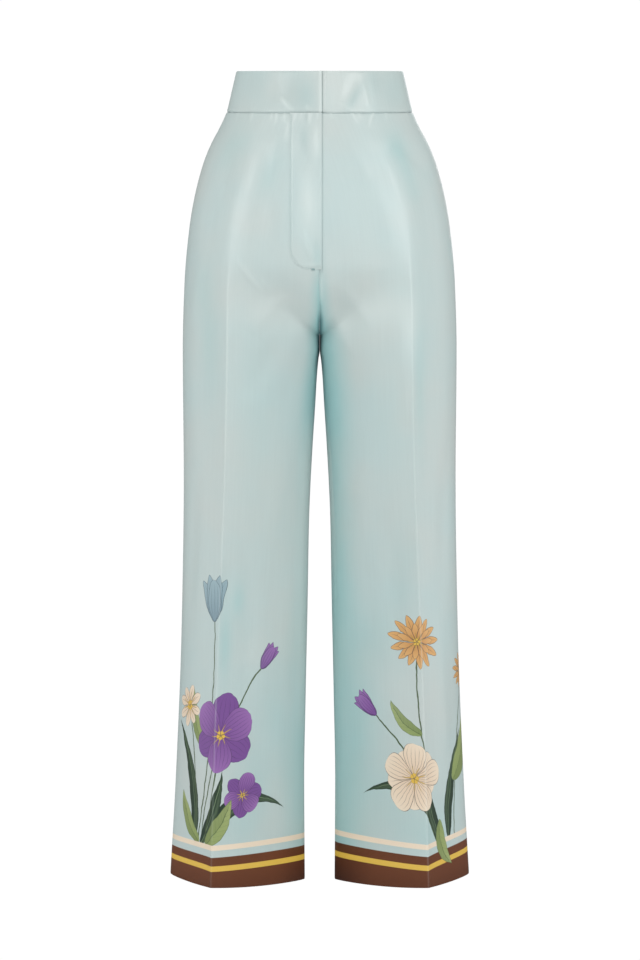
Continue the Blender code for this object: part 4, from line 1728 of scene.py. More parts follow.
class GroupBench(Bench):
    """A bench inside a new node group."""

    def __init__(self, name: str, inputs: dict[str, str], outputs: dict[str, str]) -> None:
        """Makes the group and its sockets.

        Args:
            name: The group's name.
            inputs: The kind of each input by its name: Float, Vector or Color.
            outputs: The same for the outputs.
        """
        super().__init__(bpy.data.node_groups.new(name, "ShaderNodeTree"))
        for way, sockets in (("INPUT", inputs), ("OUTPUT", outputs)):
            for label, kind in sockets.items():
                self.tree.interface.new_socket(label, in_out=way, socket_type=f"NodeSocket{kind}")
        self.inputs = self.add("NodeGroupInput").outputs
        self.outputs = self.add("NodeGroupOutput").inputs

    def give(self, label: str, value: object) -> None:
        """Feeds one of the group's outputs."""
        self.feed(self.outputs[label], value)


def ground_and_shade_group() -> bpy.types.NodeTree:
    """The dyed ground of the cloth: soft clouds of two tones, with a painted teal shade and mottle multiplied
    in.
    """
    colours = dict.fromkeys(("Pale", "Warm", "Deep"), "Color")
    inputs = {"Place": "Vector", "Cut": "Vector", "Tint": "Float", **colours}
    bench = GroupBench("dyed_ground", inputs, {"Color": "Color"})
    place, tint = bench.inputs["Place"], bench.inputs["Tint"]
    clouds = bench.noise(place, 6.0, 3.0, 0.55).outputs["Fac"]
    ground = bench.mix(bench.band(clouds, 0.36, 0.66), bench.inputs["Pale"], bench.inputs["Warm"])
    # Uneven strength of the painted teal shade and mottle.
    tone_and_light_patches = bench.noise(bench.vector("MULTIPLY", place, (11.0, 11.0, 5.0)), 1.0, 4.0, 0.6).outputs["Fac"]
    uneven = bench.math("MULTIPLY", bench.math("SUBTRACT", tone_and_light_patches, 0.5), bench.math("MULTIPLY", tint, 1.1))
    depth = bench.math("ADD", tint, uneven, clamp=True)
    colour = bench.product(depth, ground, bench.inputs["Deep"])
    fine = bench.vector("MULTIPLY", bench.inputs["Cut"], (520.0, 14.0, 1.0))
    threads = bench.noise(fine, 1.0).outputs["Fac"]
    bench.give("Color", bench.product(bench.band(threads, 0.3, 0.7, 0.025, 0.0), colour, (0.0, 0.0, 0.0)))
    return bench.tree


def light_and_shade_group() -> bpy.types.NodeTree:
    """Cloth paler under a painted highlight, and darker under a painted shade, as in a seam or between the
    legs.
    """
    inputs = {"Cloth": "Color", "Shine": "Float", "Pressed": "Color", "Dark": "Color"}
    bench = GroupBench("pressed_cloth", inputs, {"Color": "Color"})
    shine = bench.inputs["Shine"]
    colour = bench.mix(bench.band(shine, 0.0, 1.0), bench.inputs["Cloth"], bench.inputs["Pressed"])
    bench.give("Color", bench.product(bench.band(shine, 0.0, -1.0), colour, bench.inputs["Dark"]))
    return bench.tree


def weave_group() -> bpy.types.NodeTree:
    """The satin's floating threads, which run down the panel, as a height and as a gloss that varies."""
    inputs = {"Cut": "Vector", "Thread": "Float", "Gloss": "Float", "Variation": "Float"}
    bench = GroupBench("satin_weave", inputs, {"Height": "Float", "Roughness": "Float"})
    size = bench.math("DIVIDE", 1.0, bench.inputs["Thread"])
    across, up, _ = bench.parts(bench.inputs["Cut"])
    joined_place = bench.add("ShaderNodeCombineXYZ")
    bench.feed(joined_place.inputs[0], bench.math("MULTIPLY", across, size))
    bench.feed(joined_place.inputs[1], bench.math("MULTIPLY", bench.math("MULTIPLY", up, size), 0.11))
    floats = bench.noise(joined_place.outputs[0], 1.0, 1.0).outputs["Fac"]
    long_cut = bench.vector("MULTIPLY", bench.inputs["Cut"], (300.0, 18.0, 1.0))
    slubs = bench.noise(long_cut, 1.0).outputs["Fac"]
    bench.give("Height", bench.math("ADD", floats, bench.math("MULTIPLY", slubs, 0.6)))
    spread = bench.math("MULTIPLY", bench.math("SUBTRACT", slubs, 0.5), bench.inputs["Variation"])
    bench.give("Roughness", bench.math("ADD", bench.inputs["Gloss"], spread, clamp=True))
    return bench.tree


def blade_nodes(bench: GroupBench, x: Socket, y: Socket, limit: Socket | None = None) -> None:
    """Draws one leaf or petal along +X in a group that has the drawing inputs, and gives the group's colour.

    Args:
        bench: The group.
        x: How far along the blade the place is.
        y: How far to its side.
        limit: Where given, how far the place is inside the blade's sector.
    """
    given = bench.inputs
    t = bench.math("DIVIDE", x, given["Length"], clamp=True)
    rest = bench.math("SUBTRACT", 1.0, t)
    bow = bench.math("MULTIPLY", bench.math("MULTIPLY", t, rest), given["Bend"])
    aside = bench.math("SUBTRACT", y, bow)
    off = bench.math("ABSOLUTE", aside)
    narrowing = bench.math("POWER", rest, given["Tip"])
    swell = bench.math("MULTIPLY", bench.math("POWER", t, given["Root"]), narrowing)
    wide = bench.math("MULTIPLY", swell, given["Half"])
    ratio = bench.math("DIVIDE", off, bench.math("MAXIMUM", wide, 0.1))
    inside = bench.math("SUBTRACT", wide, off)
    if limit is not None:
        inside = bench.math("MINIMUM", inside, limit)
    fill = bench.band(inside, 0.0, 0.35)
    edge = bench.band(inside, given["Line"], bench.math("ADD", given["Line"], 0.35), 1.0, 0.0)
    veins = bench.math("MAXIMUM", slanted_veins(bench, x, off), rays(bench, t, ratio, wide))
    lines = bench.math("MAXIMUM", edge, veins)
    body = bench.mix(bench.band(t, 0.05, 0.95), given["Root Colour"], given["Tip Colour"])
    ribbed = bench.math("MULTIPLY", given["Rib"], 10.0, clamp=True)
    far_side = bench.math("MULTIPLY", bench.band(aside, -0.8, 0.8, 0.28, 0.0), ribbed)
    body = bench.mix(far_side, body, given["Ink"])
    gleam = bench.math("MULTIPLY", bench.band(aside, 0.0, 2.0), bench.band(ratio, 0.25, 0.5))
    gleam = bench.math("MULTIPLY", gleam, bench.band(ratio, 0.55, 0.85, 1.0, 0.0))
    gleam = bench.math("MULTIPLY", bench.math("MULTIPLY", gleam, swell), given["Gleam"])
    body = bench.mix(gleam, body, given["Rib Colour"])
    colour = bench.mix(fill, given["Under"], body)
    colour = bench.mix(bench.math("MULTIPLY", lines, fill), colour, given["Ink"])
    rib = bench.band(off, given["Rib"], bench.math("ADD", given["Rib"], 0.3), 1.0, 0.0)
    shown = bench.math("MULTIPLY", bench.band(rest, 0.1, 0.2), fill)
    rib = bench.math("MULTIPLY", bench.math("MULTIPLY", rib, ribbed), shown)
    bench.give("Color", bench.mix(rib, colour, given["Rib Colour"]))


def slanted_veins(bench: GroupBench, x: Socket, off: Socket) -> Socket:
    """The side veins of a leaf, which run outward from its middle and forward.

    Args:
        bench: The group.
        x: How far along the leaf the place is.
        off: How far from its middle.

    Returns:
        Their mask.
    """
    given = bench.inputs
    slant = bench.math("SUBTRACT", x, bench.math("MULTIPLY", off, given["Slant"]))
    tooth = bench.math("FRACT", bench.math("MULTIPLY", slant, given["Veins"]))
    vein = bench.math("LESS_THAN", bench.math("ABSOLUTE", bench.math("SUBTRACT", tooth, 0.5)), 0.045)
    return bench.math("MULTIPLY", vein, bench.band(off, 0.4, 2.4, 0.6, 0.3))


def rays(bench: GroupBench, t: Socket, ratio: Socket, wide: Socket) -> Socket:
    """The veins of a petal, which part from its root and meet again towards its tip.

    Args:
        bench: The group.
        t: How far along the petal the place is, as a share.
        ratio: How far from its middle, as a share of its half width there.
        wide: That half width.

    Returns:
        Their mask.
    """
    count = bench.inputs["Rays"]
    tooth = bench.math("FRACT", bench.math("ADD", bench.math("MULTIPLY", ratio, count), 0.5))
    off = bench.math("MULTIPLY", bench.math("ABSOLUTE", bench.math("SUBTRACT", tooth, 0.5)), wide)
    off = bench.math("DIVIDE", off, bench.math("MAXIMUM", count, 0.5))
    drawn = bench.math("MULTIPLY", count, 2.0, clamp=True)
    ray = bench.math("MULTIPLY", bench.band(off, 0.1, 0.34, 0.8, 0.0), drawn)
    ends = bench.math("MULTIPLY", bench.band(t, 0.1, 0.2), bench.band(t, 0.72, 0.94, 1.0, 0.0))
    return bench.math("MULTIPLY", ray, ends)


DRAWING_COLOURS = ("Under", "Root Colour", "Tip Colour", "Ink", "Rib Colour")
DRAWING_PLACES = ("X", "Y", "Base X", "Base Y", "Turn")
DRAWING_SIZES = ("Length", "Half", "Bend", "Root", "Tip", "Line", "Rib", "Veins", "Slant", "Rays", "Gleam")
DRAWING_INPUTS = {
    **dict.fromkeys(DRAWING_COLOURS, "Color"),
    **dict.fromkeys(DRAWING_PLACES + DRAWING_SIZES, "Float"),
}


def turned_place(bench: GroupBench) -> tuple[Socket, Socket]:
    """The place as seen from a motif's base.

    Args:
        bench: The group.

    Returns:
        How far along the way it grows the place is, and how far to its side.
    """
    given = bench.inputs
    cosine, sine = bench.math("COSINE", given["Turn"]), bench.math("SINE", given["Turn"])
    right = bench.math("SUBTRACT", given["X"], given["Base X"])
    up = bench.math("SUBTRACT", given["Y"], given["Base Y"])
    along = bench.math("ADD", bench.math("MULTIPLY", right, cosine), bench.math("MULTIPLY", up, sine))
    aside = bench.math("SUBTRACT", bench.math("MULTIPLY", up, cosine), bench.math("MULTIPLY", right, sine))
    return along, aside


def blade_group() -> bpy.types.NodeTree:
    """One drawn leaf, petal or stem over what is under it."""
    bench = GroupBench("drawn_blade", DRAWING_INPUTS, {"Color": "Color"})
    blade_nodes(bench, *turned_place(bench))
    return bench.tree


def blossom_group() -> bpy.types.NodeTree:
    """A drawn open flower, whose petals stand round its middle, over what is under it."""
    inputs = {**DRAWING_INPUTS, "Petals": "Float", "Squash X": "Float", "Squash Y": "Float"}
    bench = GroupBench("drawn_blossom", inputs, {"Color": "Color"})
    x, y = turned_place(bench)
    x = bench.math("DIVIDE", x, bench.inputs["Squash X"])
    y = bench.math("DIVIDE", y, bench.inputs["Squash Y"])
    radius = bench.math("SQRT", bench.math("ADD", bench.math("MULTIPLY", x, x), bench.math("MULTIPLY", y, y)))
    sector = bench.math("DIVIDE", 2 * math.pi, bench.inputs["Petals"])
    turns = bench.math("DIVIDE", bench.math("ARCTAN2", y, x), sector)
    number = bench.math("FLOOR", turns)
    uneven = bench.math("SINE", bench.math("MULTIPLY", bench.math("MULTIPLY", number, sector), 2.0))
    longer = bench.math("SUBTRACT", 1.0, bench.math("MULTIPLY", uneven, 0.1))
    angle = bench.math("MULTIPLY", bench.math("SUBTRACT", bench.math("FRACT", turns), 0.5), sector)
    along = bench.math("MULTIPLY", bench.math("MULTIPLY", radius, bench.math("COSINE", angle)), longer)
    aside = bench.math("MULTIPLY", radius, bench.math("SINE", angle))
    slope = bench.math("TANGENT", bench.math("MULTIPLY", sector, 0.5))
    limit = bench.math("SUBTRACT", bench.math("MULTIPLY", along, slope), bench.math("ABSOLUTE", aside))
    blade_nodes(bench, along, aside, limit)
    return bench.tree


@dataclass(frozen=True)
class Tone:
    """The colours of a motif: at its root, at its tip, of its drawn line and of its rib and gleam."""

    root: Dye
    tip: Dye
    ink: Dye
    rib: Dye


class Tones(Enum):
    """The motifs' colours."""

    PURPLE = Tone(Dye.PURPLE_DEEP, Dye.PURPLE, Dye.VIOLET_INK, Dye.PURPLE_PALE)
    VIOLET = Tone(Dye.PURPLE_DEEP, Dye.PURPLE_DEEP, Dye.VIOLET_INK, Dye.PURPLE)
    CREAM = Tone(Dye.CREAM_SHADE, Dye.CREAM, Dye.INK, Dye.INK)
    OCHRE = Tone(Dye.OCHRE_DEEP, Dye.OCHRE, Dye.INK, Dye.INK)
    BLUE = Tone(Dye.BLUE_DEEP, Dye.BLUE, Dye.BLUE_INK, Dye.BLUE_INK)
    DARK_LEAF = Tone(Dye.DARK_LEAF, Dye.DARK_LEAF_TIP, Dye.GREEN_INK, Dye.LEAF_RIB)
    LIGHT_LEAF = Tone(Dye.LIGHT_LEAF, Dye.LIGHT_LEAF_TIP, Dye.LEAF_INK, Dye.LEAF_INK)
    STEM = Tone(Dye.STEM, Dye.STEM, Dye.GREEN_INK, Dye.GREEN_INK)
    EYE = Tone(Dye.YELLOW, Dye.YELLOW, Dye.INK, Dye.INK)


@dataclass(frozen=True)
class Blade:
    """A drawn leaf, petal or stem. It grows from its base, turned from +across towards up, and bends."""

    base: Place
    turn: float
    length: float
    width: float
    tones: Tones
    bend: float = 0.0
    root: float = 0.6
    tip: float = 0.8
    line: float = 0.7
    rib: float = 0.0
    pitch: float = 0.0
    slant: float = 1.2
    rays: float = 0.0
    gleam: float = 0.0
    over_border: bool = False

    def end(self) -> tuple[Place, float]:
        """The motif's end.

        Returns:
            Where it is, and the way the motif points there.
        """
        way = math.radians(self.turn)
        place = (self.base[0] + self.length * math.cos(way), self.base[1] + self.length * math.sin(way))
        return place, self.turn - math.degrees(math.atan(4 * self.bend / self.length))

    def draw(self, bench: Bench, groups: "PrintGroups", place: Sockets, under: Socket) -> Socket:
        """Adds the motif.

        Args:
            bench: Where to add it.
            groups: The groups that draw.
            place: The place on the cloth, across and up.
            under: The colour under it.

        Returns:
            The colour with the motif.
        """
        node = bench.use(groups.blade, **self.settings(), under=under, x=place[0], y=place[1])
        return node.outputs["Color"]

    def settings(self) -> dict[str, object]:
        """What the drawing group is given.

        Returns:
            The values of its inputs by their names.
        """
        peak = self.root / (self.root + self.tip)
        most = peak**self.root * (1 - peak) ** self.tip
        tone = self.tones.value
        return {
            "base_x": self.base[0],
            "base_y": self.base[1],
            "turn": math.radians(self.turn),
            "length": self.length,
            "half": self.width / 2 / most,
            "bend": 4 * self.bend,
            "root": self.root,
            "tip": self.tip,
            "root_colour": tone.root.value,
            "tip_colour": tone.tip.value,
            "ink": tone.ink.value,
            "rib_colour": tone.rib.value,
            "line": self.line,
            "rib": self.rib,
            "veins": 1 / self.pitch if self.pitch else 0.0,
            "slant": self.slant,
            "rays": self.rays,
            "gleam": self.gleam,
        }


@dataclass(frozen=True)
class Blossom(Blade):
    """A drawn open flower. Its length is a petal's, and squash narrows it as if it were turned away."""

    petals: int = 5
    squash: tuple[float, float] = (1.0, 1.0)
    eye: float = 0.12
    stamens: int = 9

    def draw(self, bench: Bench, groups: "PrintGroups", place: Sockets, under: Socket) -> Socket:
        """Adds the petals, and then the stamens and the eye where it has them.

        Args:
            bench: Where to add them.
            groups: The groups that draw.
            place: The place on the cloth, across and up.
            under: The colour under the flower.

        Returns:
            The colour with the flower.
        """
        drawn = self.ring(bench, groups, place, under, self.settings(), self.petals)
        if not self.eye:
            return drawn
        eye = self.length * self.eye
        thread = Blade(self.base, self.turn, eye * 2.6, 1.5, Tones.EYE, root=0.1, tip=0.3, line=0.2)
        drawn = self.ring(bench, groups, place, drawn, thread.settings(), self.stamens)
        disc = Blade(self.base, self.turn, eye, 1.0, Tones.EYE, root=0.0, tip=0.45, line=0.4)
        return self.ring(bench, groups, place, drawn, {**disc.settings(), "half": eye * 0.9}, 5)

    def ring(
        self,
        bench: Bench,
        groups: "PrintGroups",
        place: Sockets,
        under: Socket,
        settings: dict[str, object],
        count: int,
    ) -> Socket:
        """Adds one ring of petals.

        Args:
            bench: Where to add them.
            groups: The groups that draw.
            place: The place on the cloth, across and up.
            under: The colour under the ring.
            settings: One petal's settings.
            count: How many petals the ring has.

        Returns:
            The colour with the ring.
        """
        shape = {"petals": float(count), "squash_x": self.squash[0], "squash_y": self.squash[1]}
        node = bench.use(groups.blossom, **settings, **shape, under=under, x=place[0], y=place[1])
        return node.outputs["Color"]


@dataclass(frozen=True)
class PrintGroups:
    """The node groups that draw the print."""

    blade: bpy.types.NodeTree
    blossom: bpy.types.NodeTree


def cup(base: Place, turn: float, size: float, tones: Tones, spread: float = 24.0) -> Motifs:
    """A closed flower seen from its side: two outer petals behind, two beside, and one in front."""
    behind, beside = size * 0.34, size * 0.40
    return (
        Blade(base, turn + spread, size * 0.94, behind, tones, bend=-size * 0.07, line=0.6, rays=1),
        Blade(base, turn - spread, size * 0.94, behind, tones, bend=size * 0.07, line=0.6, rays=1),
        Blade(base, turn + spread * 0.45, size, beside, tones, bend=-size * 0.04, line=0.6, rays=2),
        Blade(base, turn - spread * 0.45, size, beside, tones, bend=size * 0.04, line=0.6, rays=2),
        Blade(base, turn, size * 0.88, size * 0.42, tones, root=0.7, tip=0.5, line=0.6, rays=2),
    )


def star(base: Place, turn: float, size: float, squash: Place) -> Motifs:
    """A wide open purple flower: three petals behind, and three paler ones in front."""
    shape = {"line": 0.55, "petals": 3, "squash": squash}
    front = size * 0.97
    return (
        Blossom(base, turn + 60, size, size * 0.78, Tones.VIOLET, root=0.8, tip=0.62, rays=3, eye=0, **shape),
        Blossom(base, turn, front, size * 0.84, Tones.PURPLE, root=0.85, tip=0.55, rays=4, **shape),
    )


def wheel(base: Place, turn: float, size: float, squash: Place) -> Motifs:
    """A big cream flower of five veined petals over five smaller ones."""
    shape = {"line": 0.65, "petals": 5, "squash": squash, "tones": Tones.CREAM}
    return (
        Blossom(base, turn + 36, size * 0.86, size * 0.6, root=0.9, tip=0.5, rays=2, eye=0, **shape),
        Blossom(base, turn, size, size * 0.72, root=1.0, tip=0.42, rays=3, eye=0.15, **shape),
    )


def fringe(base: Place, turn: float, size: float, squash: Place) -> Motifs:
    """An ochre flower of two rings of narrow petals."""
    shape = {"root": 0.5, "line": 0.5, "squash": squash, "tones": Tones.OCHRE}
    return (
        Blossom(base, turn, size, size * 0.32, tip=0.6, rays=1, petals=13, eye=0, **shape),
        Blossom(base, turn + 16, size * 0.68, size * 0.26, tip=0.5, petals=11, eye=0.2, **shape),
    )


def daisy(base: Place, turn: float, size: float) -> Motifs:
    """A small cream flower with a wide eye."""
    shape = {"petals": 8, "root": 0.6, "tip": 0.4, "line": 0.5, "rays": 1, "eye": 0.24}
    return (Blossom(base, turn, size, size * 0.46, Tones.CREAM, **shape),)


def topped(stalk: Blade, flower: Callable[..., Motifs], turn: float, *sizes: object) -> Motifs:
    """A stem with a flower at its end, turned by an angle from the way the stem points."""
    place, way = stalk.end()
    return stalk, *flower(place, way + turn, *sizes)


def dark_leaf(base: Place, turn: float, length: float, bend: float, width: float = 21.0) -> Blade:
    """A long glossy dark leaf."""
    shape = {"root": 0.55, "tip": 1.1, "line": 0.5, "rib": 0.35, "gleam": 1.1}
    return Blade(base, turn, length, width, Tones.DARK_LEAF, bend=bend, **shape)


def pale_leaf(base: Place, turn: float, length: float, bend: float, width: float, over: bool = False) -> Blade:
    """A light green leaf with drawn veins, which may lie over the border."""
    shape = {"root": 0.55, "tip": 0.85, "line": 0.45, "rib": 0.25, "pitch": 7.5, "over_border": over}
    return Blade(base, turn, length, width, Tones.LIGHT_LEAF, bend=bend, **shape)


def stem(base: Place, turn: float, length: float, bend: float) -> Blade:
    """A drawn stem."""
    return Blade(base, turn, length, 2.2, Tones.STEM, bend=bend, root=0.03, tip=0.03, line=0.4)


PRINTS: dict[tuple[Face, Half], Motifs] = {
    (Face.FRONT, Half.RIGHT): (
        *topped(stem((38, 52), 96, 278, 12), cup, 0, 60, Tones.BLUE),
        *topped(stem((30, 52), 113, 236, -14), cup, 0, 36, Tones.PURPLE, 18.0),
        dark_leaf((44, 54), 72, 156, 16),
        dark_leaf((10, 60), 166, 124, -32, 24),
        pale_leaf((14, 166), 64, 88, -12, 20),
        *topped(stem((42, 54), 83, 168, 8), daisy, 10, 27),
        dark_leaf((30, 54), 114, 100, 10, 20),
        *topped(stem((24, 52), 103, 141, 6), star, 4, 52, (1.0, 0.92)),
        *topped(stem((14, 52), 133, 82, -4), star, 20, 31, (1.0, 0.84)),
        pale_leaf((18, 54), 128, 70, 8, 23),
        pale_leaf((34, 54), 54, 74, -8, 21),
    ),
    (Face.FRONT, Half.LEFT): (
        *topped(stem((30, 52), 122, 186, -14), cup, 0, 40, Tones.PURPLE, 20.0),
        dark_leaf((54, 54), 74, 142, 12),
        *topped(stem((34, 52), 99, 256, 16), fringe, 12, 38, (0.94, 1.0)),
        *topped(stem((70, 52), 80, 214, 10), fringe, 30, 31, (0.8, 1.0)),
        dark_leaf((28, 58), 157, 134, -38, 23),
        pale_leaf((68, 126), 62, 92, -10, 36),
        pale_leaf((-3, 190), 136, 60, 8, 17),
        dark_leaf((40, 54), 112, 96, 10, 20),
        *topped(stem((28, 54), 118, 92, 6), wheel, 18, 47, (1.0, 0.9)),
        pale_leaf((32, 82), 296, 66, -10, 21, over=True),
    ),
    (Face.BACK, Half.RIGHT): (
        *topped(stem((252, 52), 84, 250, -14), cup, 0, 54, Tones.BLUE),
        dark_leaf((262, 54), 62, 136, 12),
        dark_leaf((244, 54), 126, 124, -16),
        pale_leaf((262, 168), 56, 80, 8, 18),
        pale_leaf((248, 120), 128, 76, 8, 19),
        *topped(stem((268, 54), 70, 90, 4), daisy, 10, 26),
        *topped(stem((262, 52), 98, 150, 8), star, -10, 45, (1.0, 0.9)),
        pale_leaf((268, 54), 44, 76, -8, 21),
        pale_leaf((250, 54), 120, 60, 6, 18),
    ),
    (Face.BACK, Half.LEFT): (
        *topped(stem((228, 52), 104, 160, 10), cup, 0, 42, Tones.PURPLE, 20.0),
        *topped(stem((242, 52), 78, 240, -12), fringe, 22, 33, (1.0, 0.92)),
        dark_leaf((232, 54), 124, 140, -16),
        pale_leaf((248, 150), 50, 88, -8, 26),
        *topped(stem((240, 54), 84, 88, 4), wheel, 14, 43, (0.92, 1.0)),
        dark_leaf((254, 54), 60, 96, 8, 20),
        pale_leaf((228, 54), 146, 72, -6, 21),
    ),
}


@dataclass(frozen=True)
class Border:
    """The stripes round the hem, by their heights above it.

    The cloth was cut a little off the stripes' line. Drifts are how much higher they run at places across.
    """

    drifts: tuple[Place, ...]
    brown_top: float = 41.0
    yellow_middle: float = 27.7
    yellow_width: float = 6.4
    cream_middle: float = 52.6
    cream_width: float = 6.2

    def draw(self, bench: Bench, place: Sockets, under: Socket, tint: Socket) -> Socket:
        """Adds the stripes.

        Args:
            bench: Where to add them.
            place: The place on the cloth, across and up.
            under: The colour under them.
            tint: How strong the painted teal shade and mottled tone are there.

        Returns:
            The colour with the stripes.
        """
        across, height = place
        before = 0.0
        for (start, low), (end, high) in zip(self.drifts[:-1], self.drifts[1:]):
            drift = bench.band(across, start, end, low - before, high - before)
            height = bench.math("SUBTRACT", height, drift)
            before = high
        cream = self.stripe(bench, height, self.cream_middle, self.cream_width)
        colour = bench.mix(cream, under, Dye.CREAM.value)
        brown = bench.band(height, self.brown_top, self.brown_top + 0.5, 1.0, 0.0)
        # The brown darkens with the painted teal shade between the legs, and towards the foot of the hem.
        low = bench.band(height, 24.0, 0.0, 0.0, 0.3)
        brown_darkening = bench.math("ADD", bench.math("MULTIPLY", tint, 0.75), low)
        colour = bench.mix(brown, colour, bench.mix(brown_darkening, Dye.BROWN.value, Dye.BROWN_DEEP.value))
        yellow = self.stripe(bench, height, self.yellow_middle, self.yellow_width)
        return bench.mix(yellow, colour, Dye.YELLOW.value)

    def stripe(self, bench: Bench, height: Socket, middle: float, width: float) -> Socket:
        """The mask of one stripe."""
        off = bench.math("ABSOLUTE", bench.math("SUBTRACT", height, middle))
        return bench.band(off, width / 2 - 0.25, width / 2 + 0.25, 1.0, 0.0)


DRIFTS: dict[tuple[Face, Half], tuple[Place, ...]] = {
    (Face.FRONT, Half.RIGHT): ((-153.0, 0.1), (0.0, -0.9), (132.0, -4.1)),
    (Face.BACK, Half.RIGHT): ((132.0, -4.1), (396.0, 0.1)),
    (Face.FRONT, Half.LEFT): ((-153.0, 4.1), (0.0, 0.2), (132.0, 5.8)),
    (Face.BACK, Half.LEFT): ((132.0, 5.8), (396.0, 4.1)),
}


@dataclass(frozen=True)
class SatinFinish:
    """Dyed satin with a soft gloss, painted highlight and painted shade, and where it has a print, with the
    print drawn on it.
    """

    name: str
    motifs: Motifs = ()
    border: Border | None = None
    pale: Dye = Dye.PALE
    warm: Dye = Dye.WARM
    # The teal of the painted shade.
    deep: Dye = Dye.DEEP
    gloss: float = 0.34
    variation: float = 0.05
    thread: float = 0.00042
    bump: float = 0.12
    bump_height: float = 0.00012
    specular: float = 0.75
    sheen: float = 0.03

    def printed(self, bench: Bench, groups: "Groups", cut: Socket, tint: Socket, ground: Socket) -> Socket:
        """Adds the print: the motifs in hand-drawn lines, and the stripes of the hem.

        Args:
            bench: Where to add it.
            groups: The node groups that the finishes share.
            cut: The place on the cut cloth.
            tint: How strong the painted teal shade and mottled tone are there.
            ground: The colour of the cloth.

        Returns:
            The colour with the print.
        """
        place = bench.vector("MULTIPLY", cut, (1 / MM,) * 3)
        waver = bench.noise(bench.vector("MULTIPLY", place, (0.05,) * 3), 1.0, 3.0, 0.45)
        offset = bench.vector("SUBTRACT", waver.outputs["Color"], (0.5, 0.5, 0.5))
        drawn = bench.parts(bench.vector("MULTIPLY_ADD", offset, (6.0, 6.0, 0.0), place))[:2]
        colour = ground
        for over_border in (False, True):
            for motif in self.motifs:
                if motif.over_border is over_border:
                    colour = motif.draw(bench, groups.prints, drawn, colour)
            if not over_border:
                colour = self.border.draw(bench, bench.parts(place)[:2], colour, tint)
        return colour

    def make(self, groups: "Groups") -> bpy.types.Material:
        """The material.

        Args:
            groups: The node groups that the finishes share.

        Returns:
            The new material.
        """
        material = bpy.data.materials.new(self.name)
        material.use_nodes = True
        bench = Bench(material.node_tree)
        shader = material.node_tree.nodes["Principled BSDF"]
        object_place = bench.add("ShaderNodeTexCoord").outputs["Object"]
        cut = bench.add("ShaderNodeUVMap", uv_map="cut").outputs["UV"]
        # Point attributes that carry painted teal shade with mottle, and painted highlight and shade.
        tint = bench.add("ShaderNodeAttribute", attribute_name="tint").outputs["Fac"]
        shine = bench.add("ShaderNodeAttribute", attribute_name="shine").outputs["Fac"]
        ground_and_shade_colours = {"pale": self.pale.value, "warm": self.warm.value, "deep": self.deep.value}
        colour = bench.use(groups.dye, place=object_place, cut=cut, tint=tint, **ground_and_shade_colours).outputs["Color"]
        if self.border is not None:
            colour = self.printed(bench, groups, cut, tint, colour)
        # Painted highlight and painted shade laid over the colour.
        tones = {"pressed": Dye.PRESSED.value, "dark": Dye.DARK.value}
        press = bench.use(groups.press, cloth=colour, shine=shine, **tones)
        bench.feed(shader.inputs["Base Color"], press.outputs["Color"])
        gloss = {"gloss": self.gloss, "variation": self.variation}
        weave = bench.use(groups.weave, cut=cut, thread=self.thread, **gloss)
        bench.feed(shader.inputs["Roughness"], weave.outputs["Roughness"])
        bump = bench.add("ShaderNodeBump")
        bump.inputs["Strength"].default_value = self.bump
        bump.inputs["Distance"].default_value = self.bump_height
        bench.feed(bump.inputs["Height"], weave.outputs["Height"])
        bench.feed(shader.inputs["Normal"], bump.outputs["Normal"])
        shader.inputs["Specular IOR Level"].default_value = self.specular
        shader.inputs["Sheen Weight"].default_value = self.sheen
        shader.inputs["Sheen Roughness"].default_value = 0.45
        return material


@dataclass(frozen=True)
class Groups:
    """The node groups that several finishes share."""

    dye: bpy.types.NodeTree
    press: bpy.types.NodeTree
    weave: bpy.types.NodeTree
    prints: PrintGroups


@dataclass
class Wardrobe:
    """Every finish of the trousers."""

    groups: Groups = field(
        default_factory=lambda: Groups(
            ground_and_shade_group(), light_and_shade_group(), weave_group(), PrintGroups(blade_group(), blossom_group())
        )
    )

    def __post_init__(self) -> None:
        """Makes the finishes that several pieces share."""
        self.satin = SatinFinish("satin").make(self.groups)
        dull = {"gloss": 0.62, "specular": 0.35, "sheen": 0.3, "bump": 0.35}
        self.reverse = SatinFinish("satin_reverse", pale=Dye.REVERSE, **dull).make(self.groups)
        plain = {"pale": Dye.THREAD, "warm": Dye.THREAD, "gloss": 0.5, "thread": 0.0001}
        self.thread = SatinFinish("thread", **plain).make(self.groups)

    def printed(self, face: Face, half: Half) -> bpy.types.Material:
        """The printed satin of one panel."""
        name = f"printed_satin_{face.name.lower()}_{half.name.lower()}"
        return SatinFinish(name, PRINTS[face, half], Border(DRIFTS[face, half])).make(self.groups)


# ---------------------------------------------------------------- studio


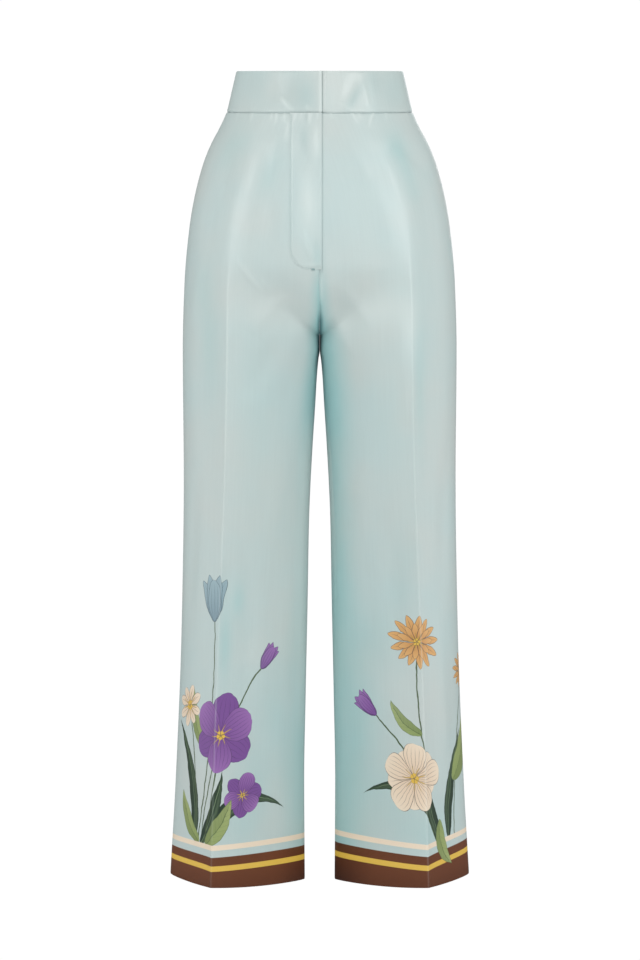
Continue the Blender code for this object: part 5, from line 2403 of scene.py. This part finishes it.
@dataclass
class Studio:
    """The camera, the lights and the floor. Sizes here are in metres."""

    camera_place: tuple[float, float, float] = (0.0004, -2.470, -0.4975)
    lens: float = 72.36
    world_light: float = 0.9
    world_gloss: float = 0.15
    floor_z: float = -1.16
    floor_size: float = 14.0

    def camera(self) -> None:
        """A level camera in front of the trousers, half way down."""
        data = bpy.data.cameras.new("camera")
        data.lens = self.lens
        data.sensor_width = 36.0
        camera = bpy.data.objects.new("camera", data)
        camera.location = self.camera_place
        camera.rotation_euler = (math.radians(90), 0, 0)
        bpy.context.scene.collection.objects.link(camera)
        bpy.context.scene.camera = camera

    def lamp(self, name: str, place: Colour, aim: Colour, size: tuple[float, float], power: float) -> None:
        """A soft box.

        Args:
            name: What it is called.
            place: Where it stands.
            aim: What it points at.
            size: Its width and height.
            power: Its power in watts.
        """
        data = bpy.data.lights.new(name, "AREA")
        data.shape = "RECTANGLE"
        data.size, data.size_y = size
        data.energy = power
        lamp = bpy.data.objects.new(name, data)
        lamp.location = place
        way = bpy.data.objects.new(name, None).location.copy()
        way.xyz = [b - a for a, b in zip(place, aim)]
        lamp.rotation_euler = way.to_track_quat("-Z", "Y").to_euler()
        bpy.context.scene.collection.objects.link(lamp)

    def world(self) -> None:
        """White all round, dimmer as a light than it looks, and dark where the gloss would mirror it."""
        world = bpy.data.worlds.new("studio")
        world.use_nodes = True
        bpy.context.scene.world = world
        bench = Bench(world.node_tree)
        background = world.node_tree.nodes["Background"]
        background.inputs["Color"].default_value = (1.0, 1.0, 1.0, 1.0)
        rays = bench.add("ShaderNodeLightPath").outputs
        light = bench.band(rays["Is Glossy Ray"], 0.0, 1.0, self.world_light, self.world_gloss)
        seen = bench.band(rays["Is Camera Ray"], 0.0, 1.0, 0.0, 1.02)
        bench.feed(background.inputs["Strength"], bench.math("MAXIMUM", light, seen))

    def floor(self) -> None:
        """A plain pale floor well under the hems."""
        bpy.ops.object.select_all(action="DESELECT")
        bpy.ops.mesh.primitive_plane_add(size=self.floor_size, location=(0, 0, self.floor_z))
        floor = bpy.context.object
        floor.name = "floor"
        material = bpy.data.materials.new("floor_white")
        material.use_nodes = True
        bench = Bench(material.node_tree)
        rays = bench.add("ShaderNodeLightPath").outputs
        shader = material.node_tree.nodes["Principled BSDF"]
        colour = bench.mix(rays["Is Glossy Ray"], (0.8, 0.8, 0.8), (0.05, 0.05, 0.05))
        bench.feed(shader.inputs["Base Color"], colour)
        shader.inputs["Roughness"].default_value = 1.0
        shader.inputs["Specular IOR Level"].default_value = 0.0
        glow = bench.add("ShaderNodeEmission")
        glow.inputs["Strength"].default_value = 1.02
        mix = bench.add("ShaderNodeMixShader")
        bench.feed(mix.inputs[0], rays["Is Camera Ray"])
        bench.feed(mix.inputs[1], shader.outputs[0])
        bench.feed(mix.inputs[2], glow.outputs[0])
        bench.feed(material.node_tree.nodes["Material Output"].inputs["Surface"], mix.outputs[0])
        floor.data.materials.append(material)

    def build(self) -> None:
        """Sets up the studio."""
        self.camera()
        self.world()
        self.floor()
        self.lamp("front_soft_box", (0.0, -3.6, 0.75), (0.0, 0.0, -0.4), (1.6, 0.9), 5.0)
        self.lamp("left_front_box", (-2.1, -2.4, 0.9), (0.0, 0.0, -0.45), (1.0, 1.4), 14.0)
        self.lamp("right_front_box", (2.1, -2.4, 0.9), (0.0, 0.0, -0.45), (1.0, 1.4), 18.0)
        self.lamp("high_soft_box", (0.3, -2.0, 2.3), (0.0, 0.0, -0.4), (1.2, 1.0), 5.0)
        self.lamp("left_side_box", (-2.3, 0.6, -0.35), (0.0, 0.0, -0.45), (0.9, 2.2), 3.0)
        self.lamp("right_side_box", (2.3, 0.6, -0.35), (0.0, 0.0, -0.45), (0.9, 2.2), 3.0)
        self.lamp("back_soft_box", (0.3, 3.2, 0.8), (0.0, 0.0, -0.4), (2.0, 1.2), 14.0)
        view = bpy.context.scene.view_settings
        view.view_transform = "Standard"
        view.look = "None"
        view.exposure = 0.0
        view.gamma = 1.0


def main() -> None:
    """Builds the trousers and the studio, and writes how big they are."""
    logging.basicConfig(level=logging.INFO, format="%(name)s: %(message)s")
    bpy.ops.object.select_all(action="DESELECT")
    Studio().build()
    finishes = Wardrobe()
    tailor = Tailor(Form())
    for part in (Legs(tailor), Waistband(tailor), Fly(tailor)):
        part.build(finishes)
        log.info("%s done", type(part).__name__)


if __name__ == "__main__":
    main()
